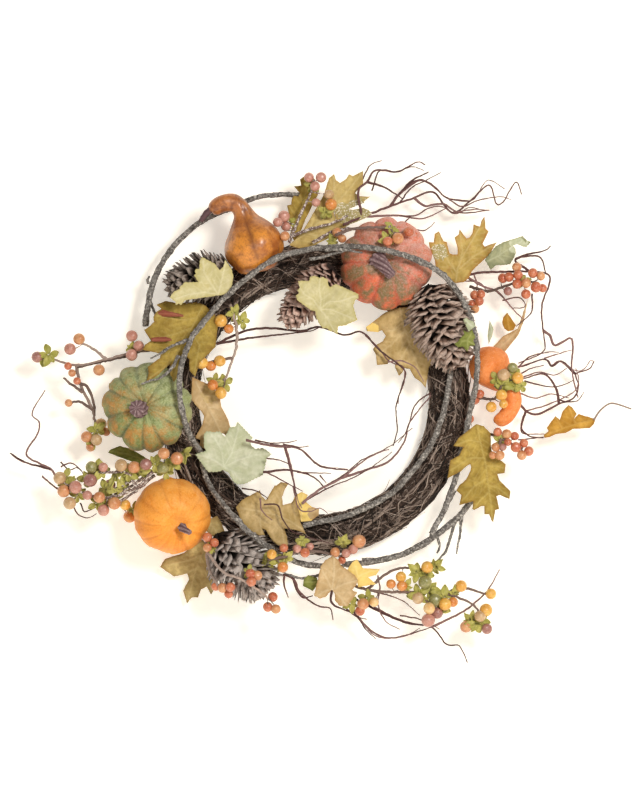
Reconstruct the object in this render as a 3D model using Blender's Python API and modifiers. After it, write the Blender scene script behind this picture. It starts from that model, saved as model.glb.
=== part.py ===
"""Harvest door wreath: a bound twig ring dressed with branches, pumpkins, gourds,
pine cones, moulded leaves, berry sprays and curly twigs.

Metres, +Z up. The wreath hangs flat against a door: the door plane is y = 0 and the
front of the wreath looks towards -Y. The origin is the point of the hook that the
ring's upper inner edge rests on. Everything is placed from the ring's centre, in
millimetres, as (x, z, depth), where depth is the distance out from the door.
"""
import math

import bmesh
import bpy
from mathutils import Matrix, Vector, geometry

MM = 0.001

# Driving dimensions, in millimetres.
RING_RADIUS = 136.0        # middle of the twig bundle
RING_HALF_WIDTH = 19.0     # half the bundle's width across the ring
RING_DEPTH = 36.0          # the bundle's thickness off the door
RING_WIDEST_DEPTH = 16.0   # depth at which the bundle is widest
FRONT_FACETS = 8           # straight sides of the bundle's round front
RING_BACK_HALF = 10.0      # half the width of the flat back
GROOVE_HALF = 2.6          # half the width of the groove for the base wire
GROOVE_DEPTH = 6.2
BASE_WIRE = 1.6            # radius of the base wire
BASE_WIRE_GAP = 0.4        # clearance over the base wire in its groove
HOOP_SIDES = 36            # straight lengths that make up a full circle
BINDING_WIRE = 0.8         # radius of the florist's wire
BINDING_ANGLES = (-58.0, -30.0, 104.0)   # where it is tied, in degrees round the ring
WIRE_INSET = 0.35          # the florist's wire lies this far under the twigs' surface
GAP = 0.5                  # clearance between a bound piece and the ring
BRANCH = 3.4               # radius of the lichen-grey branches
LEAF_THICKNESS = 0.8
STEP = 16.0                # spacing of the points along a bent branch
BERRY_STALK = 0.9          # radius of a berry's own stalk
BERRY_STEM_THICK = 1.4     # radius of a spray's stem at its root
BERRY_STEM_THIN = 1.0      # and at its end
CURLY_TWIG = 1.1           # radius of a curly twig at its root
CURLY_TIP = 0.8            # and at its tip
STALK_THICK = 1.3          # radius of a leaf's stalk where it joins the leaf
STALK_THIN = 0.8
SIDE_TWIG_THICK = 1.9      # radius of a grey branch's side twigs
SIDE_TWIG_THIN = 1.1
PUMPKIN_ROWS = 9           # rows of faces from a pumpkin's stem to its base
DIMPLE_DEPTH = 0.3         # the dimple at each pole, as a share of half the height
DIMPLE_WIDTH = 0.45        # and as a share of the radius

HANG_HEIGHT = RING_RADIUS - RING_HALF_WIDTH   # hook above the ring's centre

# Half outlines of the leaves, as (share of width, share of length) from the stem.
LEAF_SIDES = {
    "oak": ((0.03, 0.0), (0.06, 0.12), (0.32, 0.2), (0.13, 0.34), (0.5, 0.52),
            (0.15, 0.62), (0.34, 0.86), (0.1, 0.83), (0.0, 1.0)),
    "maple": ((0.03, 0.02), (0.36, -0.16), (0.2, 0.16), (0.5, 0.45), (0.17, 0.5),
              (0.16, 0.76), (0.0, 1.0)),
    "grape": ((0.03, 0.02), (0.28, -0.16), (0.46, 0.06), (0.37, 0.24), (0.5, 0.5),
              (0.3, 0.6), (0.2, 0.86), (0.0, 1.0)),
    "blade": ((0.05, 0.0), (0.4, 0.22), (0.5, 0.45), (0.34, 0.78), (0.0, 1.0)),
}

COLOURS = {
    "twig_brown": (0.06, 0.04, 0.03), "wire_grey": (0.2, 0.2, 0.2),
    "lichen_grey": (0.25, 0.25, 0.24), "pumpkin_green": (0.2, 0.28, 0.13),
    "pumpkin_orange": (0.85, 0.26, 0.03), "pumpkin_red": (0.55, 0.1, 0.04),
    "stem_mauve": (0.2, 0.11, 0.11), "gourd_amber": (0.38, 0.12, 0.02),
    "gourd_orange": (0.85, 0.2, 0.04), "cone_brown": (0.24, 0.18, 0.15),
    "leaf_yellow_green": (0.55, 0.55, 0.2), "leaf_sage": (0.46, 0.55, 0.33),
    "leaf_olive": (0.33, 0.28, 0.06), "leaf_khaki": (0.42, 0.3, 0.12),
    "leaf_golden": (0.5, 0.25, 0.03), "leaf_yellow": (0.85, 0.65, 0.15),
    "leaf_dark": (0.2, 0.2, 0.06), "berry_peach": (0.7, 0.3, 0.12),
    "berry_orange": (0.7, 0.15, 0.04), "curly_maroon": (0.1, 0.045, 0.045),
}


def point(place):
    """A place (x, z, depth) in millimetres about the ring's centre, as a vector."""
    x, z, depth = place
    return Vector((x, -depth, z)) * MM


def material(colour, roughness=0.75, metallic=0.0):
    """A plain finish of one of the named colours."""
    finish = bpy.data.materials.new(colour)
    finish.use_nodes = True
    shader = finish.node_tree.nodes["Principled BSDF"]
    shader.inputs["Base Color"].default_value = (*COLOURS[colour], 1.0)
    shader.inputs["Roughness"].default_value = roughness
    shader.inputs["Metallic"].default_value = metallic
    return finish


def hang(piece, colour, roughness=0.75, metallic=0.0):
    """Put a finished piece in the wreath's collection, under the ring's centre."""
    for holder in list(piece.users_collection):
        holder.objects.unlink(piece)
    bpy.data.collections["harvest_door_wreath"].objects.link(piece)
    piece.parent = bpy.data.objects["wreath_centre"]
    piece.data.materials.clear()
    piece.data.materials.append(material(colour, roughness, metallic))
    return piece


def mesh_object(name, shape):
    """An object from a bmesh, with round faces shaded smooth."""
    mesh = bpy.data.meshes.new(name)
    shape.to_mesh(mesh)
    shape.free()
    mesh.shade_smooth()
    mesh.set_sharp_from_angle(angle=math.radians(40))
    piece = bpy.data.objects.new(name, mesh)
    bpy.context.scene.collection.objects.link(piece)
    return piece


def smooth_route(places, step=STEP):
    """Points every few millimetres along a smooth curve through the given places."""
    corners = [Vector(place) for place in places]
    ends = [2 * corners[0] - corners[1]] + corners + [2 * corners[-1] - corners[-2]]
    route = []
    for before, start, stop, after in zip(ends, ends[1:], ends[2:], ends[3:]):
        count = max(1, round((stop - start).length / step))
        for index in range(count):
            t = index / count
            route.append(0.5 * (2 * start + (stop - before) * t
                                + (2 * before - 5 * start + 4 * stop - after) * t ** 2
                                + (3 * start - before - 3 * stop + after) * t ** 3))
    return route + [corners[-1]]


def solid_from_curve(name, curve):
    """The closed mesh object that a curve makes, with its caps welded on."""
    guide = bpy.data.objects.new(name, curve)
    bpy.context.scene.collection.objects.link(guide)
    bpy.context.view_layer.update()
    graph = bpy.context.evaluated_depsgraph_get()
    mesh = bpy.data.meshes.new_from_object(guide.evaluated_get(graph))
    bpy.data.objects.remove(guide)
    bpy.data.curves.remove(curve)
    shape = bmesh.new()
    shape.from_mesh(mesh)
    bpy.data.meshes.remove(mesh)
    bmesh.ops.remove_doubles(shape, verts=shape.verts, dist=0.00001)
    bmesh.ops.recalc_face_normals(shape, faces=shape.faces)
    return mesh_object(name, shape)


def tube(name, places, radii, sides_level=2, closed=False):
    """A mesh tube along the places; radii are one number or one for each place."""
    curve = bpy.data.curves.new(name, "CURVE")
    curve.dimensions = "3D"
    curve.bevel_depth = MM
    curve.bevel_resolution = sides_level
    curve.use_fill_caps = not closed
    spline = curve.splines.new("POLY")
    spline.points.add(len(places) - 1)
    spline.use_cyclic_u = closed
    if isinstance(radii, (int, float)):
        radii = [radii] * len(places)
    for knot, place, radius in zip(spline.points, places, radii):
        knot.co = (*point(place), 1.0)
        knot.radius = radius
    return solid_from_curve(name, curve)


def tapered(places, thick, thin):
    """Radii that run evenly from thick at the first place to thin at the last."""
    last = len(places) - 1
    return [thick + (thin - thick) * index / last for index in range(last + 1)]


def combine(piece, other, operation, solver="EXACT"):
    """Join another solid to a piece, or cut it away, and discard the other.

    The berries take the MANIFOLD solver: where they only graze each other, EXACT
    leaves open edges.
    """
    step = piece.modifiers.new("combine", "BOOLEAN")
    step.operation = operation
    step.solver = solver
    step.object = other
    bpy.context.view_layer.update()
    graph = bpy.context.evaluated_depsgraph_get()
    mesh = bpy.data.meshes.new_from_object(piece.evaluated_get(graph))
    piece.modifiers.clear()
    piece.data = mesh
    bpy.data.objects.remove(other)
    return piece


def ring_section(clearance, grooved=False):
    """Outline of the twig bundle as (radius, depth), round in front and flat behind."""
    wide = RING_HALF_WIDTH + clearance
    deep = RING_DEPTH - RING_WIDEST_DEPTH + clearance
    outline = []
    for index in range(FRONT_FACETS + 1):
        turn = math.pi * index / FRONT_FACETS
        outline.append((RING_RADIUS + wide * math.cos(turn),
                        RING_WIDEST_DEPTH + deep * math.sin(turn)))
    outline.append((RING_RADIUS - RING_BACK_HALF - clearance, -clearance))
    if grooved:
        outline.append((RING_RADIUS - GROOVE_HALF, 0.0))
        outline.append((RING_RADIUS - GROOVE_HALF, GROOVE_DEPTH))
        outline.append((RING_RADIUS + GROOVE_HALF, GROOVE_DEPTH))
        outline.append((RING_RADIUS + GROOVE_HALF, 0.0))
    outline.append((RING_RADIUS + RING_BACK_HALF + clearance, -clearance))
    return outline


def turned_ring(name, outline, steps=HOOP_SIDES):
    """A closed outline of (radius, depth) turned about the ring's axis."""
    shape = bmesh.new()
    knots = [shape.verts.new(point((radius, 0.0, depth))) for radius, depth in outline]
    for first, second in zip(knots, knots[1:] + knots[:1]):
        shape.edges.new((first, second))
    piece = mesh_object(name, shape)
    screw = piece.modifiers.new("turn", "SCREW")
    screw.axis = "Y"
    screw.steps = steps
    screw.render_steps = steps
    screw.use_merge_vertices = True
    screw.merge_threshold = 0.00005
    screw.use_smooth_shade = True
    return piece


def build_base():
    """The twig ring, the wire hoop in its back and the florist's wire round it."""
    ring = turned_ring("twig_ring", ring_section(0.0, grooved=True))
    wire_depth = GROOVE_DEPTH - BASE_WIRE - BASE_WIRE_GAP
    turns = [math.tau * index / HOOP_SIDES for index in range(HOOP_SIDES)]
    around = [(RING_RADIUS * math.cos(turn), RING_RADIUS * math.sin(turn), wire_depth)
              for turn in turns]
    hang(tube("base_wire_hoop", around, BASE_WIRE, 0, closed=True), "wire_grey", 0.4, 1.0)
    for number, degrees in enumerate(BINDING_ANGLES, start=1):
        turn = math.radians(degrees)
        loop = [(radius * math.cos(turn), radius * math.sin(turn), depth)
                for radius, depth in ring_section(-BINDING_WIRE - WIRE_INSET)]
        combine(ring, tube("bite", loop, BINDING_WIRE + 2 * WIRE_INSET, 0, closed=True), "DIFFERENCE")
        wire = tube(f"binding_wire_{number}", loop, BINDING_WIRE, 0, closed=True)
        hang(wire, "wire_grey", 0.4, 1.0)
    hang(ring, "twig_brown", 0.9)


def pumpkin(name, centre, radius, half_depth, ribs, rib_depth, facing, colour):
    """A ribbed pumpkin whose stem end looks along facing, seated on the ring."""
    shape = bmesh.new()
    bmesh.ops.create_uvsphere(shape, u_segments=2 * ribs, v_segments=PUMPKIN_ROWS, radius=1.0)
    for knot in shape.verts:
        flat = math.hypot(knot.co.x, knot.co.y)
        turn = math.atan2(knot.co.y, knot.co.x)
        rib = 1.0 - rib_depth * (0.5 - 0.5 * math.cos(ribs * turn)) * flat
        dimple = 1.0 - DIMPLE_DEPTH * max(0.0, 1.0 - flat / DIMPLE_WIDTH)
        knot.co = Vector((knot.co.x * rib * radius, knot.co.y * rib * radius,
                          knot.co.z * dimple * half_depth)) * MM
    piece = mesh_object(name, shape)
    aim = point(facing).to_track_quat("Z", "Y")
    piece.matrix_world = Matrix.Translation(point(centre)) @ aim.to_matrix().to_4x4()
    seat = turned_ring("seat", ring_section(GAP), 2 * HOOP_SIDES)
    combine(piece, seat, "DIFFERENCE")
    return hang(piece, colour)


def turned_solid(name, start, stop, radii, colour, sides=10):
    """A solid of round sections along a straight axis, one radius for each section."""
    first, last = Vector(start), Vector(stop)
    count = len(radii)
    places = [first.lerp(last, index / (count - 1)) for index in range(count)]
    level = (sides - 4) // 2
    return hang(tube(name, places, radii, level), colour)


def build_fruit():
    """Pumpkins and gourds with their stems."""
    for row in PUMPKINS:
        pumpkin(*row)
    for name, places, thick, thin in FRUIT_STEMS:
        hang(tube(name, places, tapered(places, thick, thin), 1), "stem_mauve")
    for name, rings, colour in GOURDS:
        places = [ring[:3] for ring in rings]
        hang(tube(name, places, [ring[3] for ring in rings], 3), colour, 0.35)


PUMPKINS = (
    ("green_pumpkin", (-166, -7, 52), 45, 33, 11, 0.14, (-6, 2, 60), "pumpkin_green"),
    ("orange_pumpkin", (-142, -115, 49), 38, 36, 10, 0.05, (12, -16, 60), "pumpkin_orange"),
    ("red_pumpkin", (72, 135, 57), 46, 27, 10, 0.16, (0, 3, 60), "pumpkin_red"),
)
FRUIT_STEMS = (
    ("green_pumpkin_stem", ((-172, -9, 82.5), (-174, -8, 86), (-176, -8, 91)), 8.5, 7.5),
    ("orange_pumpkin_stem", ((-131, -126, 84), (-127, -129, 89), (-123, -131, 93)), 3.4, 2.6),
    ("red_pumpkin_stem", ((63, 140, 84.5), (69, 133, 89), (77, 123, 94)), 6.5, 4.5),
    ("amber_gourd_stem", ((-104.3, 195.3, 60), (-107, 192, 60), (-111, 181, 60)), 3.6, 2.4),
)
GOURDS = (
    ("amber_gourd", ((-51, 128, 57, 5), (-53, 132, 57, 15), (-56, 141, 57, 25),
                     (-60, 154, 57, 29.5), (-64, 167, 57, 25), (-67, 178, 57, 17.5),
                     (-70, 188, 58, 12), (-74, 196, 59, 9.5), (-81, 201, 60, 9),
                     (-90, 202, 60, 9.5), (-98, 200, 60, 9), (-103.5, 196, 60, 6)),
     "gourd_amber"),
    ("crook_gourd", ((166, 50, 35, 5), (168.5, 46, 35, 13.5), (172, 40, 35, 19),
                     (176, 34, 35, 21), (181, 27, 36, 18.5), (186, 21, 38, 13.5),
                     (192, 16, 40, 9.8), (197, 9, 42, 8.6), (199, 0, 43, 8.4),
                     (197, -9, 44, 8.2), (191, -17, 44, 7.4), (184, -22, 44, 4.5)),
     "gourd_orange"),
)
CONE_RADII = (0.28, 0.72, 0.94, 1.0, 0.95, 0.82, 0.6, 0.28)
CONES = (
    ("pine_cone_upper_left", (-80, 132, 50), (-147, 116, 46), 21),
    ("pine_cone_top", (21, 131, 62), (-26, 76, 54), 20),
    ("pine_cone_right", (116, 112, 62), (140, 36, 62), 24),
    ("pine_cone_bottom", (-92, -141, 47), (-48, -192, 45), 30),
)


def build_cones():
    """The four pine cones, each a plain closed body of its outer shape."""
    for name, base, tip, radius in CONES:
        turned_solid(name, base, tip, [share * radius for share in CONE_RADII], "cone_brown")


GREY_BRANCHES = (
    ("grey_branch_hoop",
     ((117, -134, 47), (130, -110, 47), (141, -80, 47), (149, -45, 47), (157, -8, 50),
      (162.5, 25, 58), (161, 60, 66), (152, 91, 72), (134, 118, 80), (116, 132, 88),
      (96, 141, 92), (76, 147, 92.5), (51, 151.5, 88), (21, 152, 76), (-9, 149, 70),
      (-34, 142, 78), (-55, 130, 80), (-79, 111, 74), (-102, 87, 70), (-121, 62, 76),
      (-131, 36, 88), (-133, 12, 89), (-131, -10, 83), (-124, -34, 62), (-114, -53, 44),
      (-109, -75, 42), (-100, -93, 43), (-85, -111, 58), (-65, -131, 68), (-50, -143, 66),
      (-33, -155, 54), (-14, -163, 44), (8, -167, 40)), ()),
    ("grey_branch_inner",
     ((137, 48, 44), (136, 22, 41), (132, -2, 41), (124, -30, 41), (111, -55, 41),
      (96, -74, 41), (79, -92, 41), (58, -105, 41), (32, -116, 41), (6, -122, 41),
      (-11, -126, 42)), ()),
    ("grey_branch_lower",
     ((31, -165, 40), (58, -162, 38), (83, -156, 38), (103, -148, 38), (122, -136, 36),
      (138, -123, 36), (151, -110, 37), (161, -97, 38), (167, -87, 40)),
     (((116, -140, 37), (125, -121, 36), (135, -104, 36), (142, -91, 37)),
      ((123, -136, 36), (126, -146, 34), (123, -154, 33)),
      ((141, -121, 36), (137, -137, 34), (132, -151, 33), (120, -167, 32)),
      ((148, -113, 37), (146, -135, 35), (143, -154, 34)))),
    ("grey_branch_outer",
     ((-14, 206, 30), (-36, 206, 30), (-59, 203, 31), (-82, 193, 31), (-106, 183, 31),
      (-124, 171, 31), (-140, 155, 31), (-152, 138, 31), (-161, 119, 31), (-166, 98, 32),
      (-169, 74, 34)),
     (((-165, 100, 32), (-160, 88, 32), (-158, 77, 32)),)),
)
BRANCH_ENDS = {"grey_branch_outer": (2.6, 3.4), "grey_branch_lower": (3.0, 3.6)}


def build_branches():
    """The four lichen-grey branches, with their side twigs."""
    for name, route, side_twigs in GREY_BRANCHES:
        places = smooth_route(route)
        thick, thin = BRANCH_ENDS.get(name, (BRANCH, BRANCH))
        branch = tube(name, places, tapered(places, thick, thin), 1)
        for twig in side_twigs:
            places = smooth_route(twig)
            other = tube("side_twig", places, tapered(places, SIDE_TWIG_THICK, SIDE_TWIG_THIN), 0)
            combine(branch, other, "UNION")
        hang(branch, "lichen_grey", 0.9)


LEAF_STALKS = {"oak_leaf_golden": ((274, -23, 42), (282, -19, 42), (291, -8, 40),
                                   (303, -4, 38), (318, -10, 36))}
LEAVES = (
    ("grape_leaf_upper_left", "grape", (-92, 103, 66), (-111, 142, 76), 59, 0, "leaf_yellow_green"),
    ("grape_leaf_top", "grape", (5, 90, 78), (45, 104, 84), 56, 5, "leaf_yellow_green"),
    ("grape_leaf_sage", "grape", (-102, -61, 50), (-43, -53, 50), 58, 0, "leaf_sage"),
    ("oak_leaf_olive", "oak", (-114, 101, 47), (-154, 17, 87), 66, 5, "leaf_olive"),
    ("oak_leaf_top", "oak", (-22, 157, 41), (49, 227, 46), 70, 0, "leaf_olive"),
    ("oak_leaf_top_left", "oak", (-17, 160, 38), (-25, 207, 37), 36, 0, "leaf_olive"),
    ("oak_leaf_top_right", "maple", (139, 116, 35), (168, 183, 34), 66, 0, "leaf_golden"),
    ("curled_leaf_sage", "blade", (173, 133, 42), (217, 157, 40), 24, 20, "leaf_sage"),
    ("oak_leaf_khaki_inner", "oak", (83, 88, 39), (111, 11, 39), 66, 0, "leaf_khaki"),
    ("leaf_tan_left", "blade", (-112, 24, 43), (-96, -56, 41), 34, 0, "leaf_khaki"),
    ("oak_leaf_bottom_inner", "oak", (-1, -115, 50), (-76, -108, 50), 62, 0, "leaf_khaki"),
    ("maple_leaf_tan", "maple", (21, -190, 60), (19, -153, 63), 50, 0, "leaf_khaki"),
    ("leaf_yellow_bottom", "maple", (40, -184, 52), (69, -168, 50), 30, 0, "leaf_yellow"),
    ("oak_leaf_green_right", "oak", (161, -25, 56), (177, -121, 54), 64, 0, "leaf_olive"),
    ("oak_leaf_golden", "oak", (281, -21, 42), (232, -36, 40), 36, 0, "leaf_golden"),
    ("folded_leaf_tan", "blade", (186, 48, 12), (213, 99, 24), 15, 0, "leaf_khaki"),
    ("oak_leaf_dark", "oak", (-98, -130, 8), (-132, -206, 10), 60, 0, "leaf_dark"),
    ("leaf_dark_left", "blade", (-162, -62, 26), (-207, -52, 28), 18, 0, "leaf_dark"),
)


def leaf(name, kind, stem, tip, width, roll):
    """A flat moulded leaf from its stem end to its tip, rolled about its midrib."""
    base, end = point(stem), point(tip)
    length = (end - base).length
    side = [(share * width * MM, along * length) for share, along in LEAF_SIDES[kind]]
    outline = side + [(-across, along) for across, along in reversed(side[:-1])]
    curve = bpy.data.curves.new(name, "CURVE")
    curve.dimensions = "2D"
    curve.fill_mode = "BOTH"
    curve.extrude = LEAF_THICKNESS * MM / 2
    spline = curve.splines.new("POLY")
    spline.points.add(len(outline) - 1)
    spline.use_cyclic_u = True
    for knot, (across, along) in zip(spline.points, outline):
        knot.co = (across, along, 0.0, 1.0)
    piece = solid_from_curve(name, curve)
    midrib = (end - base).normalized()
    face = Vector((0.0, -1.0, 0.0))
    face = (face - midrib * face.dot(midrib)).normalized()
    turn = Matrix((midrib.cross(face), midrib, face)).transposed().to_4x4()
    piece.matrix_world = Matrix.Translation(base) @ turn @ Matrix.Rotation(math.radians(roll), 4, "Y")
    return piece


def build_leaves():
    """Every moulded fabric leaf."""
    for name, kind, stem, tip, width, roll, colour in LEAVES:
        piece = leaf(name, kind, stem, tip, width, roll)
        if name in LEAF_STALKS:
            stalk = LEAF_STALKS[name]
            combine(piece, tube("stalk", stalk, tapered(stalk, STALK_THICK, STALK_THIN), 0), "UNION")
        hang(piece, colour)


def nearest(place, start, stop):
    """The point of the straight run from start to stop that is nearest to a place."""
    foot, share = geometry.intersect_point_line(place, start, stop)
    return start.lerp(stop, min(1.0, max(0.0, share)))


def spray(name, routes, berries, colour):
    """Stems that share points, with a berry at each place (x, z, depth, radius)."""
    body = None
    for route in routes:
        stem = tube("stem", route, tapered(route, BERRY_STEM_THICK, BERRY_STEM_THIN), 0)
        body = combine(body, stem, "UNION", "MANIFOLD") if body else stem
    runs = [(Vector(start), Vector(stop)) for route in routes for start, stop in zip(route, route[1:])]
    for x, z, depth, radius in berries:
        centre = Vector((x, z, depth))
        joint = min((nearest(centre, *run) for run in runs), key=lambda place: (place - centre).length)
        if (joint - centre).length > 0.7 * radius:
            combine(body, tube("stalk", (joint, centre), BERRY_STALK, 0), "UNION", "MANIFOLD")
        shape = bmesh.new()
        bmesh.ops.create_icosphere(shape, subdivisions=1, radius=radius * MM)
        ball = mesh_object("berry", shape)
        ball.location = point(centre)
        combine(body, ball, "UNION", "MANIFOLD")
    body.name = name
    return hang(body, colour)


BERRY_SPRAYS = (
    ("berry_spray_left_upper", "berry_peach",
     (((-164, 50, 42), (-183, 47, 44), (-209, 40, 44), (-238, 35, 42), (-266, 42, 40)),
      ((-238, 35, 42), (-234, 15, 38), (-222, -10, 34), (-219, -30, 32)),
      ((-222, -10, 34), (-234, -2, 34), (-246, -3, 34))),
     ((-235, 61, 44, 6), (-244, 51, 45, 6), (-215, 30, 46, 6), (-182, 64, 50, 6),
      (-175, 54, 52, 5.5), (-182, 45, 53, 6), (-277, 43, 40, 6), (-214, -24, 26, 6),
      (-228, -37, 35, 6), (-218, -40, 38, 6), (-224, -47, 32, 5))),
    ("berry_spray_left_lower", "berry_peach",
     (((-154, -64, 66), (-177, -87, 62), (-204, -97, 56), (-230, -93, 50), (-252, -82, 46)),
      ((-177, -87, 62), (-186, -73, 62), (-209, -72, 58), (-224, -72, 54)),
      ((-154, -64, 66), (-146, -62, 68), (-138, -60, 68))),
     ((-254, -78, 50, 6.5), (-250, -91, 52, 6.5), (-244, -103, 52, 6.5), (-238, -87, 56, 6.5),
      (-222, -67, 58, 6), (-223, -80, 60, 7), (-210, -67, 62, 5), (-192, -65, 66, 6.5),
      (-179, -67, 67, 6.5), (-167, -64, 72, 6), (-149, -53, 80, 6), (-136, -58, 78, 6.5),
      (-150, -68, 74, 6), (-214, -97, 60, 6), (-199, -103, 60, 6.5), (-210, -110, 56, 6),
      (-226, -95, 58, 5), (-189, -105, 40, 5.5), (-185, -117, 30, 6.5), (-204, -85, 50, 6))),
    ("berry_spray_inner_left", "berry_peach",
     (((-84, 95, 50), (-78, 75, 52), (-77, 58, 51), (-81, 42, 48), (-90, 18, 48)),
      ((-81, 42, 48), (-95, 40, 48), (-108, 37, 50))),
     ((-93, 79, 54, 6.5), (-85, 71, 52, 5), (-112, 37, 54, 6.5), (-103, 34, 52, 5.5),
      (-94, 39, 54, 6), (-101, 15, 54, 5.5), (-93, 7, 54, 6))),
    ("berry_spray_top", "berry_peach",
     (((-25, 157, 48), (-14, 184, 52), (-5, 203, 54), (0, 219, 57)),
      ((-22, 164, 48), (-2, 171, 53), (20, 177, 54), (34, 184, 56))),
     ((-5, 222, 58, 5), (7, 222, 58, 5.5), (1, 213, 60, 5), (17, 195, 57, 6),
      (15, 205, 57, 5), (-30, 183, 60, 6), (-36, 177, 66, 5), (-28, 173, 58, 5),
      (-29, 163, 70, 5), (23, 167, 58, 5))),
    ("berry_spray_red_pumpkin", "berry_orange",
     (((21, 164, 66), (38, 170, 72), (56, 171, 80), (74, 170, 84), (81, 162, 90)),),
     ((83, 160, 90, 6), (94, 167, 84, 5.5), (73, 157, 93, 5))),
    ("berry_spray_top_right", "berry_orange",
     (((156, 114, 36), (174, 109, 38), (191, 114, 38), (208, 119, 38), (224, 117, 38)),),
     ((189, 122, 40, 5), (195, 123, 44, 5), (203, 133, 42, 5), (204, 125, 46, 5),
      (219, 127, 42, 5), (222, 113, 44, 5.5), (212, 117, 46, 5), (203, 116, 46, 5), (212, 106, 42, 5),
      (161, 105, 40, 5), (165, 99, 42, 5))),
    ("berry_spray_right", "berry_orange",
     (((156, -2, 36), (167, 2, 44), (180, 1, 54), (186, 12, 58), (193, 23, 60)),
      ((156, -2, 36), (154, -12, 38), (155, -21, 38))),
     ((189, 25, 63, 6.5), (198, 32, 58, 5.5), (203, 22, 60, 6), (187, 5, 57, 6),
      (177, -7, 52, 5.5), (161, 0, 42, 5))),
    ("berry_spray_right_lower", "berry_orange",
     (((157, -32, 30), (174, -34, 46), (186, -38, 62), (198, -44, 62), (208, -49, 62)),
      ((186, -38, 62), (184, -48, 64))),
     ((192, -34, 64, 5), (201, -47, 66, 5.5), (207, -55, 64, 5), (214, -51, 62, 5), (185, -55, 66, 5))),
    ("berry_spray_cone", "berry_orange",
     (((-107, -141, 48), (-107, -149, 62), (-92, -169, 82), (-74, -177, 84), (-56, -188, 82),
       (-44, -199, 70)),
      ((-107, -149, 62), (-105, -166, 60), (-95, -185, 66), (-85, -188, 70))),
     ((-106, -137, 64, 5), (-63, -172, 86, 5),
      (-56, -174, 84, 5), (-62, -180, 88, 5), (-91, -187, 67, 5),
      (-83, -186, 72, 5), (-41, -196, 68, 5), (-46, -206, 66, 5),
      (-38, -208, 68, 5))),
    ("berry_spray_bottom", "berry_orange",
     (((-46, -158, 80), (-30, -156, 72), (-14, -151, 62), (4, -151, 58), (24, -155, 54),
       (42, -152, 50)),),
     ((-42, -153, 82, 5), (-31, -166, 76, 5.5), (-9, -152, 64, 5), (45, -141, 54, 7), (39, -149, 54, 5),
      (21, -152, 57, 5))),
    ("berry_spray_bottom_right", "berry_peach",
     (((30, -180, 38), (52, -190, 40), (78, -192, 42), (106, -192, 44), (132, -194, 44),
       (158, -204, 42), (168, -218, 42)),
      ((52, -190, 40), (76, -172, 40), (98, -168, 40), (113, -172, 44)),
      ((132, -194, 44), (148, -188, 42), (174, -195, 40)),
      ((106, -192, 44), (116, -206, 48), (120, -216, 48))),
     ((49, -204, 46, 6), (46, -211, 44, 5), (60, -202, 46, 5), (77, -184, 45, 5),
      (87, -177, 44, 5.5), (88, -186, 46, 5.5), (113, -167, 50, 6), (111, -182, 50, 7),
      (104, -198, 48, 6), (115, -208, 54, 6), (114, -220, 52, 7), (123, -213, 46, 6),
      (121, -200, 48, 6.5), (131, -204, 50, 6.5), (139, -202, 46, 5), (147, -186, 46, 6),
      (177, -194, 42, 5.5), (172, -210, 46, 6.5), (166, -216, 48, 6), (152, -227, 42, 6),
      (173, -229, 42, 5.5))),
)


def build_berries():
    """Every spray of berries on its wired stems."""
    for name, colour, routes, berries in BERRY_SPRAYS:
        spray(name, routes, berries, colour)


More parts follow.
